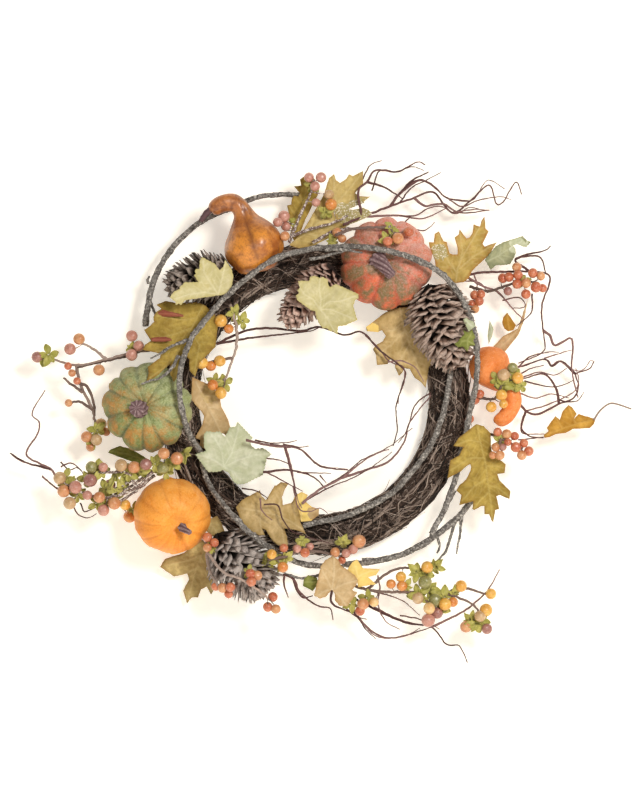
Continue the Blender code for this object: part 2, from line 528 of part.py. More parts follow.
CURLY_TWIGS = (
    ("curly_twigs_top", (
        ((29, 175, 54), (48, 183, 50), (76, 194, 38), (100, 203, 28), (119, 209, 24),
         (131, 196, 22), (141, 188, 22), (158, 201, 22), (176, 216, 22), (183, 198, 20),
         (190, 199, 20), (203, 219, 18), (209, 207, 18)),
        ((76, 194, 38), (88, 209, 32), (106, 221, 28), (122, 213, 24), (134, 203, 22),
         (158, 200, 22)),
        ((88, 209, 32), (98, 220, 30), (115, 229, 28)),
        ((48, 183, 50), (44, 208, 52), (53, 218, 48), (62, 230, 40), (84, 229, 30),
         (103, 239, 26), (112, 236, 24)),
        ((53, 218, 48), (71, 213, 34), (89, 202, 32)),
        ((100, 203, 28), (112, 195, 26), (129, 197, 24), (148, 188, 22), (176, 191, 20)),
        ((48, 183, 50), (84, 185, 34), (108, 182, 28), (132, 192, 22)))),
    ("curly_twigs_upper_right", (
        ((152, 125, 28), (170, 128, 28), (216, 129, 28), (233, 127, 26), (237, 119, 26),
         (229, 95, 26), (230, 70, 26), (232, 53, 28), (225, 45, 30), (205, 37, 34)),
        ((216, 129, 28), (202, 141, 28), (226, 144, 26), (233, 127, 26)),
        ((202, 141, 28), (213, 146, 26), (231, 150, 24), (238, 155, 22)),
        ((152, 125, 28), (170, 114, 28), (185, 108, 28), (200, 91, 28), (210, 81, 28)),
        ((230, 70, 26), (237, 65, 24), (242, 55, 24), (257, 62, 24), (260, 55, 24),
         (259, 30, 26), (265, 2, 26)))),
    ("curly_twigs_right", (
        ((202, 2, 30), (213, -11, 28), (225, -14, 26), (246, -4, 24), (261, 2, 23),
         (266, 15, 22), (263, 26, 22), (276, 31, 22), (282, 39, 22)),
        ((213, -11, 28), (208, -27, 28), (216, -36, 30), (230, -38, 32)),
        ((263, 26, 22), (248, 39, 24), (239, 34, 26), (231, 41, 28), (208, 33, 32)),
        ((246, -4, 24), (243, 12, 26), (231, 26, 28), (209, 21, 32)))),
    ("curly_twigs_inner_top", (
        ((-98, 56, 44), (-69, 69, 46), (-44, 72, 46), (-14, 69, 46), (6, 73, 48),
         (30, 65, 50), (48, 68, 52), (64, 51, 52), (81, 38, 52), (91, 28, 50),
         (88, 14, 50), (82, -7, 50), (83, -30, 50), (79, -46, 52)),
        ((-98, 56, 44), (-64, 62, 42), (-29, 66, 42), (-4, 69, 44), (6, 73, 48)))),
    ("curly_twigs_inner_right", (
        ((-12, -103, 60), (6, -89, 56), (27, -78, 54), (49, -61, 54), (66, -52, 54),
         (75, -49, 54)),
        ((27, -78, 54), (52, -70, 48), (75, -61, 46), (90, -42, 46), (96, -22, 46),
         (117, 5, 48)))),
    ("curly_twigs_inner_left", (
        ((-68, -40, 62), (-46, -45, 62), (-29, -47, 60), (-14, -49, 58), (6, -66, 56),
         (34, -70, 54)),
        ((-29, -47, 60), (-23, -70, 60), (-17, -96, 62)),
        ((-51, -72, 60), (-34, -70, 60), (-23, -70, 60), (-2, -76, 56), (12, -89, 50)))),
    ("curly_twigs_left", (
        ((-234, -97, 38), (-257, -78, 38), (-264, -69, 38), (-288, -55, 36), (-277, -34, 34),
         (-276, -22, 32), (-283, -13, 30), (-270, 10, 28)),
        ((-264, -69, 38), (-288, -63, 34), (-305, -53, 30)),
        ((-234, -97, 38), (-257, -89, 34), (-273, -76, 32)))),
    ("curly_twigs_bottom", (
        ((26, -192, 30), (48, -203, 30), (69, -214, 30), (94, -224, 30), (118, -228, 30),
         (133, -245, 28), (146, -247, 28), (154, -264, 26)),
        ((118, -228, 30), (148, -213, 32), (164, -201, 34), (176, -188, 34), (186, -170, 34)),
        ((26, -192, 30), (43, -217, 28), (58, -232, 26), (74, -239, 26), (93, -236, 28),
         (118, -228, 30)))),
)


def build_twigs():
    """The curly maroon twigs, each spray one branching piece."""
    for name, routes in CURLY_TWIGS:
        body = None
        for route in routes:
            branch = tube("branch", route, tapered(route, CURLY_TWIG, CURLY_TIP), 0)
            body = combine(body, branch, "UNION") if body else branch
        body.name = name
        hang(body, "curly_maroon", 0.8)


def main():
    """Build the whole wreath."""
    for item in list(bpy.data.objects):
        bpy.data.objects.remove(item)
    wreath = bpy.data.collections.new("harvest_door_wreath")
    bpy.context.scene.collection.children.link(wreath)
    centre = bpy.data.objects.new("wreath_centre", None)
    centre.location = (0.0, 0.0, -HANG_HEIGHT * MM)
    wreath.objects.link(centre)
    build_base()
    build_branches()
    build_fruit()
    build_cones()
    build_leaves()
    build_berries()
    build_twigs()


main()
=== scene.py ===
"""Looks of the harvest door wreath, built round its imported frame.

A bound twig ring carries bent grey branches, foam pumpkins and gourds, pine cones,
moulded cloth leaves, berry sprays and curly twigs. Places are given from the ring's
centre in millimetres as (x, z, depth), where depth is the distance out from the door.
"""

import logging
import math
import random
from dataclasses import dataclass, field
from enum import Enum
from functools import lru_cache

import bpy
import numpy as np
from mathutils import Matrix, Vector, noise
from mathutils.geometry import delaunay_2d_cdt


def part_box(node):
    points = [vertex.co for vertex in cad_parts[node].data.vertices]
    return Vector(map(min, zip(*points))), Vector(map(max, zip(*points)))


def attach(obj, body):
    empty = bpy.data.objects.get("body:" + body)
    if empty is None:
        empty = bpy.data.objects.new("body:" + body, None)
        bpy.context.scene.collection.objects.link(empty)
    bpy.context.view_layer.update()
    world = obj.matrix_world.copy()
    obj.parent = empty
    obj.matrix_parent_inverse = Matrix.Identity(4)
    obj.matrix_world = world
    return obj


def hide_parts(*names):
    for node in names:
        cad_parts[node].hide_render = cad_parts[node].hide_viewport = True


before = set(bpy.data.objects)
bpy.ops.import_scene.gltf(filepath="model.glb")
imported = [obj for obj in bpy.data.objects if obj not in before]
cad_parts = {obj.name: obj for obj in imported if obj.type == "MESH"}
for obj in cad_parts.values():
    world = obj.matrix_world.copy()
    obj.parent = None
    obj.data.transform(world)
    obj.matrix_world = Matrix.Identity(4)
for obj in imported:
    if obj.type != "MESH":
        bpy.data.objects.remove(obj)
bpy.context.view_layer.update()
LOG = logging.getLogger("wreath")

MM = 0.001
GOLDEN_ANGLE = math.pi * (3.0 - math.sqrt(5.0))
RING_LOW, RING_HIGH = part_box("twig_ring")
CENTRE = Vector(((RING_LOW.x + RING_HIGH.x) / 2, 0.0, (RING_LOW.z + RING_HIGH.z) / 2))
RING_OUTER = (RING_HIGH.x - RING_LOW.x) / 2 / MM
RING_DEPTH = -RING_LOW.y / MM

Spot = tuple[float, float]
Place = tuple[float, float, float]
Knob = tuple[float, float, float, float]
Run = tuple[list[Vector], list[float]]


# ---------------------------------------------------------------- small tools

def places(text: str) -> tuple[tuple[float, ...], ...]:
    """Read places written as numbers, with a comma between one place and the next."""
    return tuple(tuple(map(float, place.split())) for place in text.split(","))


def lines(text: str) -> tuple[tuple[tuple[float, ...], ...], ...]:
    """Read lines of places, with a stroke between one line and the next."""
    return tuple(places(line) for line in text.split("/"))


def spot(place: Place) -> Vector:
    """Turn a place into a point of the frame.

    Args:
        place: (x, z, depth) in millimetres about the ring's centre.

    Returns:
        The point in metres.
    """
    x, z, depth = place
    return CENTRE + Vector((x, -depth, z)) * MM


def pick(*pieces: bpy.types.Object) -> None:
    """Select only these pieces and make the first one active."""
    bpy.ops.object.select_all(action="DESELECT")
    for piece in pieces:
        piece.select_set(True)
    bpy.context.view_layer.objects.active = pieces[0]


def hold(name: str, data: bpy.types.ID) -> bpy.types.Object:
    """Put new data into the scene as an object at the origin."""
    piece = bpy.data.objects.new(name, data)
    bpy.context.scene.collection.objects.link(piece)
    return piece


def primitive(kind: str, **settings: object) -> bpy.types.Object:
    """Add one of Blender's own shapes, such as grid, with nothing else selected."""
    bpy.ops.object.select_all(action="DESELECT")
    getattr(bpy.ops.mesh, f"primitive_{kind}_add")(**settings)
    return bpy.context.object


def facing(way: Vector) -> Matrix:
    """The turn that brings +Z round to a direction."""
    return way.to_track_quat("Z", "Y").to_matrix().to_4x4()


def apply_modifier(piece: bpy.types.Object, kind: str, **settings: object) -> None:
    """Add one modifier to a piece and apply it.

    Args:
        piece: the mesh to finish.
        kind: the modifier's type, such as SOLIDIFY.
        settings: the modifier's properties.
    """
    pick(piece)
    modifier = piece.modifiers.new(kind.title(), kind)
    for key, value in settings.items():
        setattr(modifier, key, value)
    bpy.ops.object.modifier_apply(modifier=modifier.name)


def close_up(piece: bpy.types.Object) -> None:
    """Merge a piece's doubled points and turn its faces outwards."""
    pick(piece)
    bpy.ops.object.mode_set(mode="EDIT")
    bpy.ops.mesh.select_all(action="SELECT")
    bpy.ops.mesh.remove_doubles(threshold=0.01 * MM)
    bpy.ops.mesh.normals_make_consistent(inside=False)
    bpy.ops.object.mode_set(mode="OBJECT")
    bpy.ops.object.shade_smooth()


def join(name: str, pieces: list[bpy.types.Object]) -> bpy.types.Object:
    """Join pieces into one object of the given name."""
    pick(*pieces)
    if len(pieces) > 1:
        bpy.ops.object.join()
    pieces[0].name = name
    pieces[0].data.name = name
    return pieces[0]


def copy_of(model: bpy.types.Object, turn: Matrix) -> bpy.types.Object:
    """Copy a model with its own mesh, and put its place in that mesh.

    Args:
        model: the piece to repeat.
        turn: where the copy goes.

    Returns:
        The copy, its object at the origin.
    """
    twin = hold(model.name, model.data.copy())
    twin.data.transform(turn)
    return twin


def discard(*pieces: bpy.types.Object) -> None:
    """Remove working pieces that aren't part of the wreath."""
    for piece in pieces:
        bpy.data.objects.remove(piece)


def settle(piece: bpy.types.Object, slot: str, *nodes: str) -> None:
    """Hang a finished piece on the wreath.

    Args:
        piece: the finished mesh, its object at the origin.
        slot: the record's material slot that it belongs to; not used.
        nodes: the CAD nodes that it stands for.
    """
    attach(piece, "root")
    if nodes:
        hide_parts(*nodes)
    LOG.info("%s: %d faces", piece.name, len(piece.data.polygons))


def through(knobs: list[tuple[float, ...]], step: float) -> list[tuple[float, ...]]:
    """Points along a smooth curve through the given ones, of any number of values.

    Args:
        knobs: the points that the curve passes through.
        step: the spacing of the new points, measured on the first three values.

    Returns:
        The new points, the first and last being the given ends.
    """
    rows = [np.array(knob, float) for knob in knobs]
    ends = [2 * rows[0] - rows[1], *rows, 2 * rows[-1] - rows[-2]]
    found = []
    for before, start, stop, after in zip(ends, ends[1:], ends[2:], ends[3:]):
        count = max(1, round(float(np.linalg.norm((stop - start)[:3])) / step))
        for t in np.arange(count) / count:
            found.append(tuple(0.5 * (2 * start + (stop - before) * t
                                      + (2 * before - 5 * start + 4 * stop - after) * t * t
                                      + (3 * start - before - 3 * stop + after) * t ** 3)))
    return [*found, tuple(rows[-1])]


def tapered(line: list[Place], thick: float, thin: float) -> Run:
    """A run along a line of places, its radius going evenly from thick to thin."""
    last = max(1, len(line) - 1)
    radii = [thick + (thin - thick) * index / last for index in range(len(line))]
    return [spot(place) for place in line], radii


def sweep(name: str, runs: list[Run], level: int = 1, closed: bool = False) -> bpy.types.Object:
    """Make round rods along runs, as one mesh with closed ends.

    Args:
        name: the new object's name.
        runs: the rods, each a list of points and a list of radii in millimetres.
        level: the bevel resolution; a rod has 4 + 2 * level sides.
        closed: whether each run is a loop.

    Returns:
        The mesh object.
    """
    curve = bpy.data.curves.new(name, "CURVE")
    curve.dimensions = "3D"
    curve.bevel_depth = MM
    curve.bevel_resolution = level
    curve.use_fill_caps = not closed
    for points, radii in runs:
        spline = curve.splines.new("POLY")
        spline.points.add(len(points) - 1)
        spline.points.foreach_set("co", [value for point in points for value in (*point, 1.0)])
        spline.points.foreach_set("radius", radii)
        spline.use_cyclic_u = closed
    rod = hold(name, curve)
    pick(rod)
    bpy.ops.object.convert(target="MESH")
    close_up(rod)
    return rod


def roughen(piece: bpy.types.Object, height: float, size: float, seed: float = 0.0) -> None:
    """Push a piece's points in and out along their normals with smooth noise.

    Args:
        piece: the mesh to roughen.
        height: the most a point moves, in millimetres.
        size: the width of one lump, in millimetres.
        seed: shifts the pattern.
    """
    shift = Vector((seed, 0.0, 0.0))
    for vertex in piece.data.vertices:
        push = noise.noise(vertex.co / (size * MM) + shift)
        vertex.co += vertex.normal * push * height * MM
    piece.data.update()


def paint(piece: bpy.types.Object, name: str, values: list) -> None:
    """Store a value at each point of a piece, for its finish to read.

    Args:
        piece: the mesh.
        name: the attribute's name.
        values: one number or one vector for each point.
    """
    if isinstance(values[0], Vector):
        layer = piece.data.attributes.new(name, "FLOAT_VECTOR", "POINT")
        layer.data.foreach_set("vector", [part for value in values for part in value])
    else:
        layer = piece.data.attributes.new(name, "FLOAT", "POINT")
        layer.data.foreach_set("value", values)


def ramp(value: float, low: float, high: float) -> float:
    """How far a value is on the way from low to high, kept between 0 and 1."""
    return min(1.0, max(0.0, (value - low) / (high - low)))


# ------------------------------------------------------------------- finishes

def linear(code: str) -> tuple[float, float, float, float]:
    """Turn an sRGB hex colour into a linear one with full alpha."""
    shares = [int(code[index:index + 2], 16) / 255 for index in (1, 3, 5)]
    straight = [s / 12.92 if s <= 0.04045 else ((s + 0.055) / 1.055) ** 2.4 for s in shares]
    return (*straight, 1.0)


def add_node(tree: bpy.types.NodeTree, kind: str, inputs: dict | None = None,
             give: str = "", **settings: object) -> bpy.types.NodeSocket:
    """Add one node with its settings, values and links.

    Args:
        tree: the material's node tree.
        kind: the node's type without its ShaderNode prefix.
        inputs: socket names or numbers, each with a value or the output that feeds it.
        give: the output to return, where it isn't the first in use.
        settings: the node's own properties.

    Returns:
        The node's output.
    """
    node = tree.nodes.new("ShaderNode" + kind)
    for key, value in settings.items():
        setattr(node, key, value)
    for key, value in (inputs or {}).items():
        if isinstance(value, bpy.types.NodeSocket):
            tree.links.new(value, node.inputs[key])
        else:
            node.inputs[key].default_value = value
    return node.outputs[give] if give else next(out for out in node.outputs if out.enabled)


class Lie(Enum):
    """How a coat of colour lies on a piece."""

    EVEN = "all over"
    CLOUDS = "in soft patches"
    FLAKES = "in single grains, some covered and some bare"
    EACH = "more on one twig or cone scale than on the next"


@dataclass(frozen=True)
class Coat:
    """One coat of colour laid over those before it.

    Attributes:
        colour: the coat's colour as sRGB hex.
        lie: how it lies.
        size_mm: the width of its patches or grains.
        low: the noise value at which it starts.
        high: the noise value at which it is full.
        cover: the most that it hides.
        where: the piece's own attribute that holds it to a place.
        bare: the attribute's value at which there is none of it.
        full: the attribute's value at which there is all of it.
        along: the vector attribute that its patches follow, in place of the room.
    """

    colour: str
    lie: Lie = Lie.CLOUDS
    size_mm: float = 8.0
    low: float = 0.35
    high: float = 0.65
    cover: float = 1.0
    where: str = ""
    bare: float = 0.0
    full: float = 1.0
    along: str = ""

    def share(self, tree: bpy.types.NodeTree, place: bpy.types.NodeSocket) -> object:
        """How much of the coat there is at each place.

        Args:
            tree: the material's node tree.
            place: the place that the patches and grains are drawn at.

        Returns:
            One value for the whole piece, or the output that gives it.
        """
        amount: object = self.cover
        if self.along:
            place = add_node(tree, "Attribute", give="Vector", attribute_name=self.along)
        cell = {"Vector": place, "Scale": 1.0 / (self.size_mm * MM)}
        reach = {1: self.low, 2: self.high, 4: self.cover}
        if self.lie is Lie.CLOUDS:
            grain = add_node(tree, "TexNoise", {**cell, "Detail": 6.0, "Roughness": 0.6})
            amount = add_node(tree, "MapRange", {0: grain, **reach})
        elif self.lie is Lie.FLAKES:
            grain = add_node(tree, "TexVoronoi", cell, give="Color")
            grain = add_node(tree, "SeparateColor", {0: grain})
            amount = add_node(tree, "MapRange", {0: grain, **reach})
        elif self.lie is Lie.EACH:
            piece = add_node(tree, "NewGeometry", give="Random Per Island")
            amount = add_node(tree, "MapRange", {0: piece, **reach})
        if self.where:
            spot_value = add_node(tree, "Attribute", give="Fac", attribute_name=self.where)
            held = add_node(tree, "MapRange", {0: spot_value, 1: self.bare, 2: self.full})
            amount = add_node(tree, "Math", {0: amount, 1: held}, operation="MULTIPLY")
        return amount


@dataclass(frozen=True)
class Finish:
    """A surface: its ground colour, the coats over it, its gloss and its grain.

    Attributes:
        name: what the surface is made of and how.
        ground: the colour under every coat, as sRGB hex.
        coats: the coats, from the lowest to the top one.
        roughness: the surface's roughness.
        grain_mm: the width of its surface grain.
        relief_mm: the depth of that grain.
        extra: other constant inputs of the shader.
    """

    name: str
    ground: str
    coats: tuple[Coat, ...]
    roughness: float = 0.75
    grain_mm: float = 1.6
    relief_mm: float = 0.5
    extra: tuple[tuple[str, float], ...] = (("Specular IOR Level", 0.3),)

    def material(self) -> bpy.types.Material:
        """Build the material, coat by coat."""
        made = bpy.data.materials.new(self.name)
        made.use_nodes = True
        tree = made.node_tree
        shader = tree.nodes["Principled BSDF"]
        for key, value in (("Roughness", self.roughness), *self.extra):
            shader.inputs[key].default_value = value
        place = add_node(tree, "TexCoord", give="Object")
        colour: object = linear(self.ground)
        for coat in self.coats:
            colour = add_node(tree, "Mix", {0: coat.share(tree, place), 6: colour,
                                            7: linear(coat.colour)}, data_type="RGBA")
        tree.links.new(colour, shader.inputs["Base Color"])
        grain = add_node(tree, "TexNoise", {"Vector": place, "Scale": 1 / (self.grain_mm * MM),
                                            "Detail": 6.0})
        relief = add_node(tree, "Bump", {"Height": grain, "Strength": 0.8,
                                         "Distance": self.relief_mm * MM})
        tree.links.new(relief, shader.inputs["Normal"])
        return made


def bark(name: str, dark: str, middle: str, light: str) -> Finish:
    """Dried, unpeeled twig bark: matt and fibrous, each twig its own brown.

    Args:
        name: the material's name.
        dark: the colour of the darkest twigs and of the cracks.
        middle: the colour of most of the bark.
        light: the colour of the twigs whose bark has dried palest.

    Returns:
        The finish.
    """
    return Finish(name, middle, (
        Coat(dark, Lie.EACH, low=0.55, high=0.95), Coat(light, Lie.EACH, low=0.42, high=0.0),
        Coat(middle, size_mm=9.0, low=0.45, high=0.7, cover=0.4),
        Coat(dark, size_mm=1.2, low=0.5, high=0.75, cover=0.7)), 0.72, 1.2, 0.4)


def brushed_foam(name: str, skin: str, glow: str, blotch: str, groove: str, frost: str,
                 patch: Coat, gloss: float = 0.55) -> Finish:
    """Carved foam: matt paint brushed down its ribs, dark grooves, frosting and painted highlight.

    Args:
        name: the material's name.
        skin: the first paint.
        glow: the brighter paint brushed along the ribs.
        blotch: the small stains.
        groove: the darker colour laid in the grooves.
        frost: the pale dusting, partly frosting and partly painted highlight on the lit side.
        patch: the large patches of a second colour.
        gloss: the surface's roughness.

    Returns:
        The finish.
    """
    return Finish(name, skin, (
        Coat(glow, size_mm=4.5, low=0.38, high=0.66, along="brush"), patch,
        Coat(blotch, size_mm=2.6, low=0.52, high=0.68, cover=0.55),
        Coat(groove, Lie.EVEN, cover=0.8, where="rib", bare=0.6, full=0.05),
        Coat(groove, size_mm=9.0, low=0.5, high=0.66, cover=0.5, along="brush"),
        # Pale coats toward the upper right: frosting, and painted highlight where the key light
        # falls.
        Coat(frost, size_mm=8.0, low=0.32, high=0.62, cover=0.6, where="frost"),
        Coat(frost, size_mm=1.6, low=0.46, high=0.64, cover=0.75, where="frost", bare=-0.3)),
        gloss, 2.4, 0.7)


def cone_scale(name: str, inner: str, outer: str, rim: str) -> Finish:
    """Woody cone scales, weathered and paler at the lips; near-black painted shade between them.

    Args:
        name: the material's name.
        inner: the painted shade deep between the scales and on the core.
        outer: the colour of the weathered wood.
        rim: the colour of the worn lips.

    Returns:
        The finish.
    """
    return Finish(name, outer, (
        Coat(rim, Lie.EACH, low=0.3, high=1.0, cover=0.4),
        Coat(rim, Lie.EVEN, cover=0.65, where="reach", bare=0.93, full=1.02),
        Coat(inner, size_mm=2.2, low=0.48, high=0.72, cover=0.6),
        # Painted shade: the inner part of each scale and the core go near black.
        Coat(inner, Lie.EVEN, where="reach", bare=0.97, full=0.7)), 0.8, 1.6, 0.6)


def moulded_cloth(name: str, face: str, shade: str, vein: str, margin: str,
                  glitter: float = 0.0) -> Finish:
    """Polyester cloth heat-moulded and sprayed: soft sheen, paler veins, tinted margins.

    The threads are about 0.3 mm apart; the weave is drawn at 0.9 mm so that it shows.

    Args:
        name: the cloth's name, the end of the material's.
        face: the colour of most of the face.
        shade: the darker sprayed clouds.
        vein: the colour along the raised veins.
        margin: the tint along the edge.
        glitter: the share of the face under glass glitter.

    Returns:
        The finish.
    """
    coats = (Coat(face, size_mm=16.0), Coat(shade, size_mm=5.0, low=0.44, high=0.7, cover=0.75),
             Coat(margin, size_mm=9.0, low=0.52, high=0.7, cover=0.45),
             Coat(margin, Lie.EVEN, cover=0.6, where="edge"),
             Coat(vein, Lie.EVEN, cover=0.45, where="vein"))
    if glitter:
        coats += (Coat("#E9E2D0", Lie.FLAKES, 0.9, 1.0 - glitter, 1.01 - glitter),)
    return Finish(f"moulded_cloth_{name}", shade, coats, 0.78, 0.9, 0.35,
                  (("Specular IOR Level", 0.25), ("Sheen Weight", 0.12)))


def berry_lacquer(name: str, skin: str, blush: str) -> Finish:
    """Moulded plastic berry with a soft lacquer, a blush and a dusting of bloom.

    Args:
        name: the lacquer's name, the end of the material's.
        skin: the lacquer's colour.
        blush: the paler cloud on it.

    Returns:
        The finish.
    """
    return Finish(f"berry_lacquer_{name}", skin, (
        Coat(blush, size_mm=7.0, low=0.4, high=0.62),
        Coat("#E8D6C4", size_mm=1.2, low=0.52, high=0.75, cover=0.5)), 0.36, 1.0, 0.2,
        (("Coat Weight", 0.35), ("Coat Roughness", 0.25)))


BARK = bark("dried_vine_twig_bark", "#100B09", "#48382F", "#BCAA9E")
# Near-black browns: painted shade for the deep inside of the ring.
CORE = bark("dried_vine_twig_shadow", "#0A0706", "#1B1411", "#2A201B")
CURLY = bark("painted_curly_willow", "#4A312F", "#6C4C4A", "#967674")
STEM = bark("paper_wrapped_wire_stem", "#564640", "#7E6A62", "#B4A298")
# Lichen is chalky and pitted: pale clouds and grains of it, with dark bark between.
LICHEN = Finish("lichen_covered_branch", "#625E5B", (
    Coat("#8A8682", size_mm=7.0, low=0.38, high=0.6),
    Coat("#C0BCB6", size_mm=2.4, low=0.5, high=0.64),
    Coat("#3E3A38", size_mm=1.8, low=0.52, high=0.38, cover=0.85)), 0.9, 1.8, 1.1)
# Zinc on drawn wire is a dull, even grey; annealed tie wire is nearly black.
WIRE = Finish("galvanised_steel_wire", "#6F7274", (Coat("#9A9D9E", size_mm=2.0),), 0.45, 2.0, 0.05,
              (("Metallic", 0.9),))
TIE = Finish("black_annealed_steel_wire", "#1C1816", (Coat("#3A322E", size_mm=2.0),), 0.6, 2.0,
             0.05, (("Metallic", 0.9),))
# Crushed glass on a dark painted stem: bright grains, made 1.1 mm wide so that they show.
TINSEL = Finish("glass_glitter_stem", "#7A6660", (
    Coat("#DDD4CE", Lie.FLAKES, 1.1, 0.66, 0.7),), 0.4, 1.1, 0.8)
# Carved foam: darker in its hollows and in clouds, paler with pale grains along its ridges.
PUMPKIN_STEM = Finish("carved_foam_stem", "#5E464A", (
    Coat("#866C70", Lie.EVEN, cover=0.8, where="ridge", full=0.6),
    Coat("#4A3438", size_mm=3.0, low=0.5, high=0.66, cover=0.6),
    Coat("#C4B0B0", size_mm=2.4, low=0.4, high=0.62, cover=0.7, where="ridge", bare=0.35)),
    0.75, 1.8, 0.5)
# Amber stains under clear varnish: honey clouds, a burnt neck, painted shade in the crease.
AMBER = Finish("varnished_foam_amber", "#A45C22", (
    Coat("#DE9034", size_mm=24.0, low=0.4, high=0.58),
    Coat("#7E3E12", size_mm=8.0, low=0.44, high=0.68, cover=0.7),
    Coat("#6A3210", size_mm=2.2, low=0.5, high=0.68, cover=0.4),
    Coat("#B07044", Lie.EVEN, cover=0.6, where="neck"),
    Coat("#74401F", size_mm=7.0, low=0.46, high=0.6, cover=0.75, where="neck"),
    # Painted shade along the front crease.
    Coat("#6A3416", Lie.EVEN, cover=0.85, where="rib", bare=1.0, full=0.0),
    Coat("#D8A070", size_mm=1.4, low=0.6, high=0.75, cover=0.5)), 0.42, 3.0, 0.6,
    (("Coat Weight", 0.35), ("Coat Roughness", 0.22)))


class Skin(Enum):
    """The lacquers that the berries come in."""

    PEACH = berry_lacquer("peach", "#C27C4E", "#D49C6C")
    ORANGE = berry_lacquer("orange", "#CE7830", "#DE9648")
    GOLD = berry_lacquer("gold", "#DA9C38", "#E8B858")
    CREAM = berry_lacquer("cream", "#E6C68E", "#DDAC6A")
    PINK = berry_lacquer("pink", "#B57868", "#C89284")
    MAUVE = berry_lacquer("mauve", "#8E5A54", "#A8766C")
    OLIVE = berry_lacquer("olive", "#7C7C44", "#98945A")
    RED = berry_lacquer("red", "#B65836", "#CC7A54")
    BEIGE = berry_lacquer("beige", "#B8956A", "#CCAD84")


class Cloth(Enum):
    """The sprayed cloths that the leaves are moulded from: face, shade, veins, margin."""

    YELLOW_GREEN = moulded_cloth("yellow_green", "#CEC69C", "#B6AE7C", "#E9E3C4", "#B9AC6A")
    SAGE = moulded_cloth("sage", "#D0D2BC", "#B2B897", "#E4E6D6", "#A3AC84")
    FERN = moulded_cloth("fern", "#ADAE88", "#85896A", "#CBCDB0", "#747A58")
    OLIVE = moulded_cloth("olive", "#BFA552", "#8C742E", "#D2BF78", "#7E5A22")
    FROSTED = moulded_cloth("frosted", "#B9AC78", "#9C8F55", "#D5CDAA", "#A79C70", 0.2)
    AUTUMN = moulded_cloth("autumn", "#D2B76C", "#A98F48", "#E4D49C", "#A5672A")
    STRAW = moulded_cloth("straw", "#DAC584", "#B29A5A", "#E6D8A4", "#A8884A")
    KHAKI = moulded_cloth("khaki", "#D4BA88", "#AC925C", "#DECBA0", "#8F6F34")
    TAN = moulded_cloth("tan", "#D6BC92", "#B89C70", "#E6D6B2", "#A9814C")
    GOLDEN = moulded_cloth("golden", "#D6A64A", "#AE7E28", "#DDB565", "#93621C")
    YELLOW = moulded_cloth("yellow", "#F4DE8C", "#E8CA72", "#F8EAB0", "#E0BC70")
    DARK = moulded_cloth("dark", "#D2C084", "#A08C58", "#DACA98", "#86683A")
    RUST = moulded_cloth("rust", "#A4604C", "#864432", "#B5745C", "#7C4230")
    IVY = moulded_cloth("ivy", "#959A52", "#6A7232", "#B4B87A", "#5C6426")
    MOSS = moulded_cloth("moss", "#CCC672", "#9A9846", "#DED89C", "#848034")


@lru_cache(maxsize=None)
def mixed(finish: Finish) -> bpy.types.Material:
    """The finish's material, built the first time that it is asked for."""
    return finish.material()


def coat(piece: bpy.types.Object, finish: Finish) -> None:
    """Lay a finish on a piece as its next material."""
    piece.data.materials.append(mixed(finish))


def berries(text: str) -> tuple[tuple[float, float, float, float, Skin], ...]:
    """Read berries written as x, z, depth, radius and skin, with commas between them."""
    rows = (berry.split() for berry in text.split(","))
    return tuple((*map(float, row[:4]), Skin[row[4]]) for row in rows)


# ------------------------------------------------------------------ the pieces

